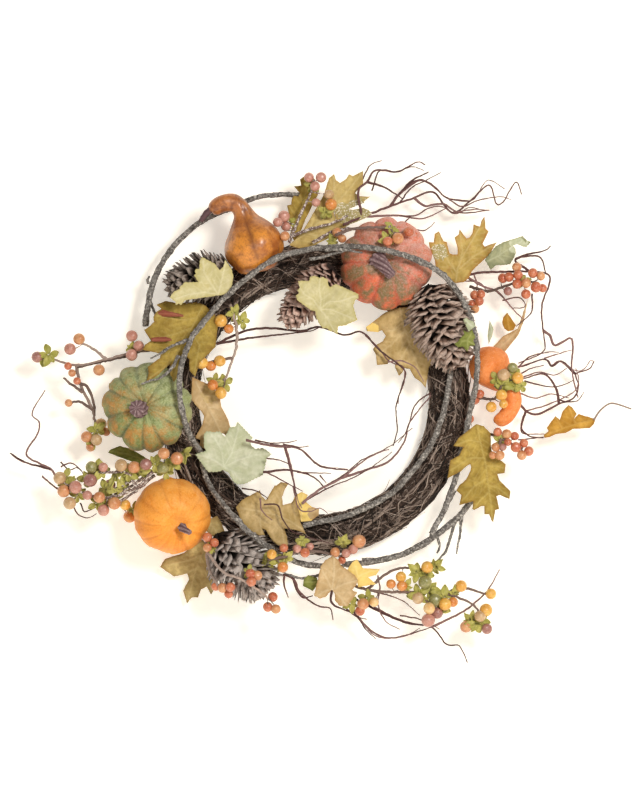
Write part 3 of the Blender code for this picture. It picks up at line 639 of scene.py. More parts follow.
@dataclass
class TwigRing:
    """The wound ring of vine twigs, with the wire hoop in its back and its binding wires."""

    radius: float = RING_OUTER - 19.0
    half_width: float = 19.0
    half_depth: float = RING_DEPTH / 2
    strands: int = 1150
    strand_radii: tuple[float, ...] = (0.6, 0.75, 0.9, 1.1, 1.4, 1.8)
    strand_taper: float = 0.45
    strays: int = 170
    nest_strands: int = 1300
    nest_steps: int = 7
    stray_steps: int = 8
    core_share: float = 0.8
    hoop_radius: float = 136.0
    hoop_depth: float = 1.7
    hoop_thick: float = 1.6
    tie_thick: float = 0.5
    tie_turns: int = 3
    bindings: tuple[float, ...] = (-58.0, -30.0, 104.0)
    chance: random.Random = field(default_factory=lambda: random.Random(11))

    def section_spot(self, angle: float, reach: float, turn: float, lift: float) -> Vector:
        """A point of the ring's section.

        Args:
            angle: the way round the ring, in radians.
            reach: the share of the section's half width out from its middle.
            turn: the way round the section, 0 outwards and a quarter turn to the front.
            lift: the least depth from the door, in millimetres.

        Returns:
            The point in metres.
        """
        across = self.radius + self.half_width * reach * math.cos(turn)
        depth = self.half_depth * (1.0 + reach * math.sin(turn))
        return spot((across * math.cos(angle), across * math.sin(angle), max(depth, lift)))

    def strand(self) -> Run:
        """One twig wound along the ring, slipping round its section as it goes."""
        chance = self.chance
        angle = chance.uniform(0, math.tau)
        length = chance.uniform(0.35, 1.3)
        turn = chance.uniform(-0.35 * math.pi, 1.35 * math.pi)
        slip = chance.gauss(0.0, 0.95)
        thick = chance.choice(self.strand_radii)
        reach = chance.uniform(0.82, 1.0)
        phase, sway = chance.uniform(0, 10), chance.uniform(0.02, 0.07)
        count = max(6, int(length * 18))
        points, radii = [], []
        for index in range(count + 1):
            share = index / count
            bulge = reach + sway * math.sin(phase + share * 9) - 0.1 * (abs(share - 0.5) * 2) ** 4
            points.append(self.section_spot(angle + length * share, min(1.0, bulge),
                                            turn + slip * (share - 0.5), thick))
            radii.append(thick * (1.0 - self.strand_taper * abs(share - 0.4)))
        return points, radii

    def nest_strand(self) -> Run:
        """One thin twig lying crosswise over the others."""
        chance = self.chance
        angle, length = chance.uniform(0, math.tau), chance.uniform(0.12, 0.42)
        turn = chance.uniform(-0.1 * math.pi, 1.1 * math.pi)
        slip = chance.choice((-1, 1)) * chance.uniform(0.5, 2.2)
        thick, phase = chance.uniform(0.32, 0.7), chance.uniform(0, 10)
        points, radii = [], []
        for index in range(self.nest_steps + 1):
            share = index / self.nest_steps
            reach = 1.0 + 0.05 * math.sin(phase + share * 5) + 0.06 * (1 - abs(share - 0.5) * 2)
            across = turn + slip * (share - 0.5) + 0.35 * math.sin(phase * 3 + share * 6)
            across = min(math.pi * 1.15, max(-0.15 * math.pi, across))
            points.append(self.section_spot(angle + length * share, reach, across, 1.0))
            radii.append(thick * (1.0 - 0.5 * abs(share - 0.4)))
        return points, radii

    def stray(self) -> Run:
        """One twig whose end springs out of the ring."""
        chance = self.chance
        angle, way = chance.uniform(0, math.tau), chance.choice((-1, 1))
        turn = chance.choice((0.0, math.pi)) + chance.uniform(-0.2, 0.9)
        thick, throw = chance.uniform(0.35, 0.7), chance.uniform(0.15, 0.75)
        points, radii = [], []
        for index in range(self.stray_steps + 1):
            share = index / self.stray_steps
            points.append(self.section_spot(angle + way * 0.32 * share,
                                            0.8 + throw * share ** 1.8 * 0.9, turn, 1.0))
            radii.append(thick * (1.0 - 0.6 * share))
        return points, radii

    def core(self) -> bpy.types.Object:
        """The packed middle of the ring, near black as painted shade deep among the twigs."""
        core = primitive("torus", major_radius=self.radius * MM, minor_radius=self.half_width * MM,
                         major_segments=160, minor_segments=18)
        bpy.ops.object.mode_set(mode="EDIT")
        bpy.ops.transform.resize(value=(1, 1, self.half_depth / self.half_width))
        bpy.ops.object.mode_set(mode="OBJECT")
        turn = Matrix.Rotation(math.pi / 2, 4, "X")
        middle = CENTRE + Vector((0, -self.half_depth * MM, 0))
        core.data.transform(Matrix.Translation(middle) @ turn)
        for vertex in core.data.vertices:
            inward = vertex.co - middle
            flat = Vector((inward.x, 0, inward.z)).normalized() * self.radius * MM
            vertex.co = middle + flat + (inward - flat) * self.core_share
        roughen(core, 1.2, 6.0)
        return core

    def build(self) -> None:
        """Make the ring, its hoop and its bindings, and dress them."""
        runs = [self.strand() for _ in range(self.strands)]
        runs += [self.stray() for _ in range(self.strays)]
        twigs = sweep("twig_ring_twigs", runs, 0)
        coat(twigs, BARK)
        core = self.core()
        coat(core, CORE)
        settle(join("twig_ring_twigs", [twigs, core]), "twigs", "twig_ring")
        nest = sweep("twig_ring_nest", [self.nest_strand() for _ in range(self.nest_strands)], 0)
        coat(nest, BARK)
        settle(nest, "twigs")
        circle = [spot((self.hoop_radius * math.cos(a), self.hoop_radius * math.sin(a),
                        self.hoop_depth)) for a in np.linspace(0, math.tau, 121)[:-1]]
        hoop = sweep("base_hoop_wire", [(circle, [self.hoop_thick] * len(circle))], 2, True)
        coat(hoop, WIRE)
        settle(hoop, "wire", "base_wire_hoop")
        for number, angle in enumerate(self.bindings, 1):
            tie = self.binding(number, math.radians(angle))
            coat(tie, TIE)
            settle(tie, "wire", f"binding_wire_{number}")

    def binding(self, number: int, angle: float) -> bpy.types.Object:
        """Some turns of wire round the ring's section.

        Args:
            number: the binding's number in its name.
            angle: where it sits on the ring, in radians.

        Returns:
            The wire's mesh.
        """
        steps = 36 * self.tie_turns
        points = [self.section_spot(angle + 0.03 * (index / steps - 0.5), 1.01,
                                    math.tau * index / 36, 0.6) for index in range(steps + 1)]
        return sweep(f"binding_wire_coil_{number}", [(points, [self.tie_thick] * len(points))], 1)


@dataclass
class GreyBranch:
    """A bent branch crusted with lichen, knobbly, with its side twigs."""

    name: str
    route: tuple[Place, ...]
    twigs: tuple[tuple[Place, ...], ...]
    thick: float = 2.9
    thin: float = 2.9
    twig_thick: float = 1.9
    twig_thin: float = 0.8
    lump_share: float = 0.16
    knot_share: float = 0.8
    sway: float = 0.8

    def rod(self, route: tuple[Place, ...], thick: float, thin: float, seed: float) -> Run:
        """A knobbly run whose thickness wanders along it.

        Args:
            route: the places that it passes through.
            thick: its radius at the start, in millimetres.
            thin: its radius at the end.
            seed: shifts its lumps.

        Returns:
            Its points and radii.
        """
        points, radii = tapered(through(list(route), 1.6), thick, thin)
        for index, point in enumerate(points):
            lump = noise.noise(Vector((index * 0.23, seed, 0.0)))
            knot = max(0.0, noise.noise(Vector((index * 0.09, seed, 7.0))) - 0.3)
            radii[index] *= 1.0 + self.lump_share * lump + self.knot_share * knot
            sway = [noise.noise(Vector((index * 0.12, seed, plane))) for plane in (3.0, 5.0)]
            points[index] = point + Vector((sway[0], 0.0, sway[1])) * self.sway * MM
        return points, radii

    def build(self) -> None:
        """Make the branch and dress it."""
        seed = sum(map(ord, self.name)) * 0.37
        runs = [self.rod(self.route, self.thick, self.thin, seed)]
        runs += [self.rod(twig, self.twig_thick, self.twig_thin, seed + 5 + index)
                 for index, twig in enumerate(self.twigs)]
        branch = sweep(self.name, runs, 3)
        roughen(branch, 0.8, 2.6, seed)
        coat(branch, LICHEN)
        settle(branch, "grey_branch", self.name.removesuffix("_wood"))


@dataclass
class Pumpkin:
    """A ribbed foam pumpkin and its carved stem, seen on its crown."""

    name: str
    centre: Place
    radius: float
    half_depth: float
    ribs: int
    rib_depth: float
    crown: Place
    finish: Finish
    stem: tuple[Place, ...]
    stem_thick: float
    stem_thin: float
    stem_ridges: int = 6
    ridge_depth: float = 0.2
    # The way toward the lit side, where frosting and painted highlight lie.
    frost_and_highlight_way: Spot = (0.4, 0.6)
    rib_segments: int = 14
    dimple: float = 0.26
    dimple_width: float = 0.3
    wander: float = 0.35

    def body(self) -> bpy.types.Object:
        """The ribbed fruit, with dimples at its crown and foot."""
        fruit = primitive("uv_sphere", segments=self.ribs * self.rib_segments, ring_count=48,
                          radius=1.0)
        fruit.name = f"{self.name}_foam"
        seed = self.radius * 1.7
        grooves, brushes = [], []
        for vertex in fruit.data.vertices:
            x, y, z = vertex.co
            angle = math.atan2(y, x)
            flat = math.hypot(x, y)
            brushes.append(Vector((math.cos(angle), math.sin(angle), 0.25 * z))
                           * self.radius * MM)
            wander = self.wander * noise.noise(Vector((math.cos(angle), math.sin(angle), seed)))
            wave = abs(math.sin((angle + wander) * self.ribs / 2))
            lobe = wave ** 0.55
            share = 1.0 - self.rib_depth * 1.15 * (1.0 - lobe) * flat ** 0.6
            rib = round(angle * self.ribs / math.tau)
            share *= 1.0 + 0.05 * noise.noise(Vector((rib, seed, 0)))
            share += 0.022 * noise.noise(vertex.co * 3.2 + Vector((seed, 0, 0)))
            dimple = self.dimple * math.exp(-(flat / self.dimple_width) ** 2)
            sunk = 1.0 - self.rib_depth * 0.9 * (1.0 - lobe) * min(1.0, flat * 2.5)
            vertex.co = Vector((x * share, y * share, z * (1.0 - dimple) * sunk))
            grooves.append(1.0 - (1.0 - min(1.0, wave * 1.6)) * min(1.0, flat * 1.6))
        paint(fruit, "rib", grooves)
        paint(fruit, "brush", brushes)
        axis = Vector((self.crown[0], -self.crown[2], self.crown[1])).normalized()
        size = Matrix.Diagonal((self.radius * MM, self.radius * MM, self.half_depth * MM, 1))
        fruit.data.transform(Matrix.Translation(spot(self.centre)) @ facing(axis) @ size)
        close_up(fruit)
        # Paler toward the upper right: frosting, and painted highlight where the key light falls.
        middle, way = spot(self.centre), Vector((self.frost_and_highlight_way[0], 0, self.frost_and_highlight_way[1]))
        paint(fruit, "frost", [ramp((vertex.co - middle).dot(way) / (self.radius * MM), -0.5, 0.75)
                               for vertex in fruit.data.vertices])
        return fruit

    def stalk(self) -> bpy.types.Object:
        """The ridged, twisted stem."""
        points, radii = tapered(through(list(self.stem), 1.2), self.stem_thick, self.stem_thin)
        for index in range(len(radii)):
            radii[index] *= 1.0 + 0.35 * math.exp(-index / 2.2)
        tip, ahead = points[-1], (points[-1] - points[-2]).normalized() * 0.3 * MM
        points += [tip + ahead, tip + 1.5 * ahead, tip + 1.7 * ahead, tip + 1.8 * ahead]
        radii += [radii[-1] * share for share in (0.88, 0.62, 0.34, 0.08)]
        stalk = sweep(f"{self.name}_stalk", [(points, radii)], 10)
        middle = [sum((p[axis] for p in points)) / len(points) for axis in range(3)]
        along = (points[-1] - points[0]).normalized()
        side = along.orthogonal().normalized()
        ridges = []
        for vertex in stalk.data.vertices:
            arm = vertex.co - Vector(middle)
            run = arm.dot(along)
            arm -= along * run
            angle = math.atan2(arm.dot(along.cross(side)), arm.dot(side)) + run * 60
            ridges.append(0.5 + 0.5 * math.cos(self.stem_ridges * angle))
            vertex.co += arm * self.ridge_depth * (ridges[-1] - 0.5) * 2
        paint(stalk, "ridge", ridges)
        roughen(stalk, 0.4, 2.0)
        return stalk

    def build(self) -> None:
        """Make the fruit and its stem, and dress them."""
        fruit = self.body()
        coat(fruit, self.finish)
        settle(fruit, "pumpkin_" + self.name.removesuffix("_pumpkin"), self.name)
        stalk = self.stalk()
        coat(stalk, PUMPKIN_STEM)
        settle(stalk, "fruit_stem", f"{self.name}_stem")


@dataclass
class Gourd:
    """A smooth gourd swept along its bent middle line."""

    name: str
    rings: tuple[Knob, ...]
    finish: Finish
    slot: str
    lumps: float = 0.8
    crease: tuple[Place, ...] = ()
    crease_width: float = 3.2
    crease_depth: float = 2.2
    neck: tuple[float, float] = (165.0, 190.0)

    def build(self) -> None:
        """Make the gourd and dress it."""
        knobs = through(list(self.rings), 1.5)
        points = [spot(knob[:3]) for knob in knobs]
        body = sweep(f"{self.name}_foam", [(points, [max(0.6, knob[3]) for knob in knobs])], 14)
        roughen(body, self.lumps, 14.0, 3.0)
        line = [spot(place) for place in through(list(self.crease), 1.5)] if self.crease else []
        shades = []
        for vertex in body.data.vertices:
            near = min(((vertex.co - p).xz.length for p in line), default=1.0)
            front = vertex.normal.y < -0.1
            shade = min(1.0, near / (self.crease_width * MM)) if front else 1.0
            if shade < 1.0:
                vertex.co += vertex.normal * -self.crease_depth * MM * (1 - shade) ** 2
            shades.append(shade)
        # Low along the crease, where the amber finish lays painted shade.
        paint(body, "rib", shades)
        paint(body, "neck", [ramp((vertex.co.z - CENTRE.z) / MM, *self.neck)
                             for vertex in body.data.vertices])
        coat(body, self.finish)
        settle(body, self.slot, self.name)


@dataclass
class PineCone:
    """An open pine cone: woody scales set round a core in a spiral."""

    name: str
    base: Place
    tip: Place
    radius: float
    finish: Finish
    scales: int = 120
    open_angle: float = 80.0
    shut_angle: float = 30.0
    scale_width: float = 10.0
    scale_thick: float = 3.4
    seed: int = 3

    def scale_model(self) -> bpy.types.Object:
        """One fan-shaped scale along +X, one unit long, its lip rounded, wavy and turned up."""
        scale = primitive("grid", x_subdivisions=4, y_subdivisions=5, size=1.0)
        for vertex in scale.data.vertices:
            reach, side = vertex.co.x + 0.5, 2.0 * vertex.co.y
            width = 0.16 + 0.34 * reach ** 0.8
            lift = 0.7 * reach ** 3 + 0.3 * math.sin(4.2 * side + 0.6) * reach ** 2
            vertex.co = Vector((reach * (1.0 - 0.2 * side * side), side * width,
                                lift - 0.3 * side * side * reach))
        apply_modifier(scale, "SOLIDIFY", thickness=0.6, offset=0.0)
        paint(scale, "reach", [vertex.co.x + 0.16 * (2 * vertex.co.y) ** 2
                               for vertex in scale.data.vertices])
        return scale

    def profile(self, share: float) -> float:
        """The cone's radius at a share of its length, as a share of its greatest."""
        rise = min(1.0, 0.66 + share * 1.5)
        return rise * math.sqrt(max(0.02, 1.0 - max(0.0, (share - 0.3) / 0.73) ** 2))

    def build(self) -> None:
        """Make the cone and dress it."""
        chance = random.Random(self.seed)
        start, stop = spot(self.base), spot(self.tip)
        axis = (stop - start).normalized()
        length = (stop - start).length
        side = axis.orthogonal().normalized()
        up = axis.cross(side)
        model = self.scale_model()
        parts = []
        for index in range(self.scales):
            share = (index + 0.5) / self.scales
            spread = self.profile(share) * chance.uniform(0.94, 1.03)
            angle = index * GOLDEN_ANGLE + chance.uniform(-0.12, 0.12)
            out = side * math.cos(angle) + up * math.sin(angle)
            lean = math.radians(self.open_angle + (self.shut_angle - self.open_angle) * share ** 1.6
                                + chance.uniform(-11, 11))
            way = (out * math.sin(lean) + axis * math.cos(lean)).normalized()
            reach = min(self.radius * spread / math.sin(lean), 1.1 * self.radius) * MM
            end = start + axis * length * (0.06 + 0.94 * share) + out * self.radius * spread * MM
            width = self.scale_width * (0.5 + 0.5 * spread) * chance.uniform(0.75, 1.2) * MM
            thick = self.scale_thick * (0.6 + 0.4 * spread) * MM
            across = axis.cross(out).normalized()
            turn = Matrix((way, across, way.cross(across))).transposed().to_4x4()
            twist = Matrix.Rotation(chance.uniform(-0.4, 0.4), 4, "X")
            parts.append(copy_of(model, Matrix.Translation(end - way * reach) @ turn @ twist
                                 @ Matrix.Diagonal((reach, width, thick, 1))))
        discard(model)
        scales = join(f"{self.name}_scales", parts)
        roughen(scales, 1.8, 4.0, self.seed)
        roughen(scales, 0.9, 1.8, self.seed)
        coat(scales, self.finish)
        base, tip = Vector(self.base), Vector(self.tip)
        knobs = through([(*tuple(base.lerp(tip, share)), wide * self.radius)
                         for share, wide in places("0.02 0.12, 0.15 0.45, 0.5 0.5, 0.85 0.22, "
                                                   "0.95 0.05")], 2.0)
        core = sweep("core", [([spot(k[:3]) for k in knobs], [max(0.4, k[3]) for k in knobs])], 4)
        # The core takes the cone's deepest painted shade.
        paint(core, "reach", [0.0] * len(core.data.vertices))
        coat(core, self.finish)
        cone = join(f"{self.name}_scales", [scales, core])
        pick(cone)
        bpy.ops.object.shade_smooth()
        settle(cone, "pine_cone", self.name)


@dataclass
class Leaf:
    """A leaf of cloth moulded with raised veins, on the plane through its heel and tip."""

    name: str
    cloth: Cloth
    slot: str
    outline: tuple[Spot, ...]
    heel: Place
    tip: Place
    veins: tuple[tuple[Spot, ...], ...]
    cup: float = 3.0
    wave: float = 2.2
    teeth: float = 0.0
    tilt: float = 0.0
    spacing: float = 1.25
    patches: tuple[tuple[Cloth, Spot, float], ...] = ()
    stalk: tuple[Place, ...] = ()
    thickness: float = 0.5
    vein_height: float = 0.7
    vein_width: float = 1.1
    side_vein_width: float = 0.8
    margin_width: float = 3.2
    first_vein: float = 5.0
    vein_spacing: float = 3.6
    vein_angle: float = 46.0
    vein_reach: float = 4.0

    def depth_at(self, x: float, z: float) -> float:
        """The leaf's depth over a place, with its cup and its waves.

        Args:
            x: across from the ring's centre, in millimetres.
            z: up from it.

        Returns:
            The distance out from the door, in millimetres.
        """
        heel, tip = np.array(self.heel), np.array(self.tip)
        run = tip[:2] - heel[:2]
        length = float(np.hypot(*run))
        run = run / length
        along = float(np.dot((x, z) - heel[:2], run))
        across = float(np.dot((x, z) - heel[:2], (-run[1], run[0])))
        depth = heel[2] + (tip[2] - heel[2]) * along / length
        depth += math.tan(math.radians(self.tilt)) * across
        depth += self.cup * (abs(across) / 22.0) ** 1.5 - self.cup * 0.5
        seed = len(self.outline) * 3.7
        depth += self.wave * noise.noise(Vector((x / 17, z / 17, seed)))
        depth += 0.5 * self.wave * noise.noise(Vector((x / 7, z / 7, seed + 4)))
        return depth + 0.35 * noise.noise(Vector((x / 2.6, z / 2.6, seed + 8)))

    def margin(self) -> list[np.ndarray]:
        """The outline with points close enough together, cut into teeth where it has them."""
        corners = [np.array(corner, float) for corner in self.outline]
        edge = []
        for start, stop in zip(corners, corners[1:] + corners[:1]):
            run = stop - start
            count = max(1, round(float(np.hypot(*run)) / 1.7))
            out = np.array((run[1], -run[0])) / max(1e-6, float(np.hypot(*run)))
            for index in range(count):
                share = index / count
                push = self.teeth * (0.5 if index % 2 else -0.5) if 0 < index else 0.0
                bow = 0.35 * noise.noise(Vector((*(start + run * share) / 3.0, 1.0)))
                edge.append(start + run * share + out * (push + bow))
        return edge

    def side_veins(self) -> list[tuple[np.ndarray, np.ndarray, float]]:
        """Every vein as short straight runs, each with its strength."""
        runs = []
        for vein in self.veins:
            points = [np.array(p, float) for p in vein]
            total = sum(float(np.hypot(*(b - a))) for a, b in zip(points, points[1:]))
            gone, mark, flip = 0.0, self.first_vein, 1
            for a, b in zip(points, points[1:]):
                size = float(np.hypot(*(b - a)))
                runs.append((a, b, 1.0))
                way = (b - a) / max(size, 1e-6)
                while mark < gone + size:
                    foot = a + way * (mark - gone)
                    turn = math.radians(self.vein_angle * flip)
                    branch = np.array((way[0] * math.cos(turn) - way[1] * math.sin(turn),
                                       way[0] * math.sin(turn) + way[1] * math.cos(turn)))
                    reach = self.vein_reach + 0.3 * (total - mark)
                    runs.append((foot, foot + branch * reach, 0.5))
                    flip, mark = -flip, mark + self.vein_spacing
                gone += size
        return runs

    def build(self) -> None:
        """Make the leaf and dress it."""
        edge = self.margin()
        low, high = np.min(edge, axis=0), np.max(edge, axis=0)
        inner = [np.array((x + (0.5 * self.spacing if row % 2 else 0.0), z))
                 for row, z in enumerate(np.arange(low[1], high[1], self.spacing * 0.87))
                 for x in np.arange(low[0], high[0], self.spacing)]
        rim = np.array(edge)
        following = np.roll(rim, -1, axis=0)
        kept = []
        for place in inner:
            crossing = ((rim[:, 1] > place[1]) != (following[:, 1] > place[1]))
            rise = np.where(crossing, following[:, 1] - rim[:, 1], 1.0)
            slope = (following[:, 0] - rim[:, 0]) / rise
            reach = rim[:, 0] + slope * (place[1] - rim[:, 1])
            if np.count_nonzero(crossing & (place[0] < reach)) % 2:
                if float(np.min(np.hypot(*(rim - place).T))) > 0.55 * self.spacing:
                    kept.append(place)
        count = len(edge)
        points = [Vector(place) for place in edge + kept]
        loops = [(index, (index + 1) % count) for index in range(count)]
        flat, _, faces, *_ = delaunay_2d_cdt(points, loops, [list(range(count))], 1, 1e-4)
        grid = np.array([tuple(place) for place in flat])
        ridge = np.zeros(len(grid))
        for start, stop, strength in self.side_veins():
            way = stop - start
            share = np.clip(((grid - start) @ way) / max(1e-6, float(way @ way)), 0, 1)
            gap = np.hypot(*(grid - start - share[:, None] * way).T)
            width = self.vein_width if strength == 1.0 else self.side_vein_width
            ridge = np.maximum(ridge, strength * np.clip(1.0 - gap / width, 0, 1))
        border = np.array([float(np.min(np.hypot(*(rim - place).T))) for place in grid])
        body = bpy.data.meshes.new(f"{self.name}_cloth")
        body.from_pydata([spot((x, z, self.depth_at(x, z) + self.vein_height * lift))
                          for (x, z), lift in zip(grid, ridge)], [], faces)
        leaf = hold(f"{self.name}_cloth", body)
        paint(leaf, "vein", list(ridge))
        paint(leaf, "edge", list(np.clip(1.0 - border / self.margin_width, 0, 1)))
        pick(leaf)
        bpy.ops.object.mode_set(mode="EDIT")
        bpy.ops.mesh.select_all(action="SELECT")
        bpy.ops.mesh.normals_make_consistent(inside=False)
        bpy.ops.object.mode_set(mode="OBJECT")
        if sum(face.normal.y for face in body.polygons) > 0:
            body.flip_normals()
        apply_modifier(leaf, "SOLIDIFY", thickness=self.thickness * MM, offset=-1.0)
        bpy.ops.object.shade_smooth()
        coat(leaf, self.cloth.value)
        for cloth, centre, size in self.patches:
            coat(leaf, cloth.value)
            for face in leaf.data.polygons:
                x, z = (face.center.x - CENTRE.x) / MM, (face.center.z - CENTRE.z) / MM
                reach = size * (1 + 0.4 * noise.noise(Vector((x / 4, z / 4, 0))))
                if math.hypot(x - centre[0], z - centre[1]) < reach:
                    face.material_index = len(leaf.data.materials) - 1
        if self.stalk:
            stalk = sweep("stalk", [tapered(through(list(self.stalk), 1.5), 1.1, 0.8)], 1)
            coat(stalk, STEM)
            leaf = join(f"{self.name}_cloth", [leaf, stalk])
        settle(leaf, self.slot, *self.nodes())

    def nodes(self) -> tuple[str, ...]:
        """The CAD nodes that the leaf stands for."""
        return (self.name,)


class Scrap(Leaf):
    """A small loose leaf with no CAD node of its own."""

    def nodes(self) -> tuple[str, ...]:
        """No CAD nodes."""
        return ()


@dataclass
class BerrySpray:
    """Berries on wired stems, with their green calyxes, made as one piece."""

    name: str
    slot: str
    routes: tuple[tuple[Place, ...], ...]
    berries: tuple[tuple[float, float, float, float, Skin], ...]
    calyxes: tuple[tuple[float, float, float, float], ...] = ()
    glitter: bool = False
    thick: float = 1.8
    thin: float = 1.1
    stalk_thick: float = 0.55
    stalk_thin: float = 0.45
    calyx_growth: float = 1.2

    def stems(self) -> bpy.types.Object:
        """The stems and a stalk from the nearest stem to each berry."""
        chance = random.Random(len(self.berries) * 7 + len(self.routes))
        runs, anchors = [], []
        for route in self.routes:
            wobbly = [(x + chance.gauss(0, 0.25), z + chance.gauss(0, 0.25), depth)
                      for x, z, depth in through(list(route), 2.5)]
            runs.append(tapered(wobbly, self.thick, self.thin))
            anchors += [np.array(place[:3]) for place in wobbly]
        for x, z, depth, radius, _ in self.berries:
            centre = np.array((x, z, depth))
            near = sorted(anchors, key=lambda place: float(np.linalg.norm(place - centre)))
            foot = near[min(2, len(near) - 1)]
            sag = np.array((chance.gauss(0, 0.8), chance.gauss(0, 0.8) - 0.8, 0))
            stalk = through([tuple(foot), tuple((foot + centre) / 2 + sag), tuple(centre)], 2.0)
            runs.append(tapered(stalk, self.stalk_thick, self.stalk_thin))
        stems = sweep(f"{self.name}_stems", runs, 1)
        roughen(stems, 0.9 if self.glitter else 0.5, 1.8)
        coat(stems, TINSEL if self.glitter else STEM)
        return stems

    def build(self, berry: bpy.types.Object, calyx: bpy.types.Object) -> None:
        """Make the spray and dress it.

        Args:
            berry: one berry of radius 1, its eye along +Z.
            calyx: one calyx of radius 1, opening along +Z.
        """
        chance = random.Random(len(self.berries))
        parts = [self.stems()]
        for x, z, depth, radius, skin in self.berries:
            away = Vector((chance.gauss(0, 0.6), -1.0, chance.gauss(0, 0.6))).normalized()
            size = radius * MM
            ball = copy_of(berry, Matrix.Translation(spot((x, z, depth))) @ facing(away)
                           @ Matrix.Diagonal((size, size * chance.uniform(0.94, 1.04), size, 1)))
            coat(ball, skin.value)
            parts.append(ball)
        for x, z, depth, radius in self.calyxes:
            away = Vector((chance.gauss(0, 0.35), -1.0, chance.gauss(0, 0.35))).normalized()
            turn = facing(away) @ Matrix.Rotation(chance.uniform(0, math.tau), 4, "Z")
            size = self.calyx_growth * radius * MM
            star = copy_of(calyx, Matrix.Translation(spot((x, z, depth))) @ turn
                           @ Matrix.Diagonal((size, size, size, 1)))
            coat(star, Cloth.MOSS.value)
            parts.append(star)
        spray = join(f"{self.name}_berries", parts)
        settle(spray, self.slot, self.name)


def berry_model() -> bpy.types.Object:
    """One berry of radius 1: a ball with a sunken, puckered eye."""
    berry = primitive("uv_sphere", segments=14, ring_count=9, radius=1.0)
    berry.name = "berry_model"
    for vertex in berry.data.vertices:
        flat = math.hypot(vertex.co.x, vertex.co.y)
        if vertex.co.z > 0.8:
            vertex.co.z -= 0.16 * (1 - flat / 0.6)
    bpy.ops.object.shade_smooth()
    return berry


def calyx_model() -> bpy.types.Object:
    """One calyx of radius 1: five cupped pointed leaflets round its middle."""
    leaflet = primitive("grid", x_subdivisions=3, y_subdivisions=5, size=1.0)
    for vertex in leaflet.data.vertices:
        along = vertex.co.y + 0.5
        width = 0.62 * math.sin(math.pi * min(1.0, along * 0.93 + 0.05)) ** 0.9
        crease = abs(vertex.co.x)
        vertex.co = Vector((vertex.co.x * width, 0.05 + along * 0.95,
                            0.5 * crease + 0.34 * along - 0.55 * along * along))
    petals = []
    for index in range(5):
        swing = Matrix.Rotation(math.tau * index / 5 + 0.3 * math.sin(7 * index), 4, "Z")
        lean = Matrix.Rotation(0.5 * math.sin(5 * index), 4, "X")
        size = Matrix.Scale(0.85 + 0.25 * math.sin(3 * index), 4)
        petals.append(copy_of(leaflet, swing @ lean @ size))
    discard(leaflet)
    star = join("calyx_model", petals)
    apply_modifier(star, "SOLIDIFY", thickness=0.07, offset=0.0)
    bpy.ops.object.shade_smooth()
    paint(star, "vein", [0.8 * ramp(abs(math.sin(2.5 * math.atan2(v.co.x, v.co.y))), 0.35, 0.0)
                         for v in star.data.vertices])
    paint(star, "edge", [min(1.0, vertex.co.xy.length) ** 3 * 0.5 for vertex in star.data.vertices])
    return star


@dataclass
class CurlyTwigs:
    """A spray of kinked maroon twigs that taper to hairs."""

    name: str
    routes: tuple[tuple[Place, ...], ...]
    thick: float = 1.5
    thin: float = 0.6
    fine: tuple[tuple[Spot, ...], ...] = ()
    fine_depth: float = 32.0
    in_cad: bool = True
    hair_thick: float = 0.95
    hair_thin: float = 0.45

    def build(self) -> None:
        """Make the spray and dress it."""
        runs = []
        hairs = [tuple((*point, self.fine_depth - 0.4 * step) for step, point in enumerate(line))
                 for line in self.fine]
        for index, route in enumerate((*self.routes, *hairs)):
            small = index >= len(self.routes)
            bent = [(x + 0.55 * noise.noise(Vector((x / 5, z / 5, index))),
                     z + 0.55 * noise.noise(Vector((z / 5, x / 5, index + 9))), depth)
                    for x, z, depth in through(list(route), 2.2)]
            top, end = (self.hair_thick, self.hair_thin) if small else (self.thick, self.thin)
            runs.append(tapered(bent, top, end))
        twigs = sweep(f"{self.name}_willow", runs, 1)
        roughen(twigs, 0.25, 2.5)
        coat(twigs, CURLY)
        settle(twigs, "curly_twigs", *([self.name] if self.in_cad else []))


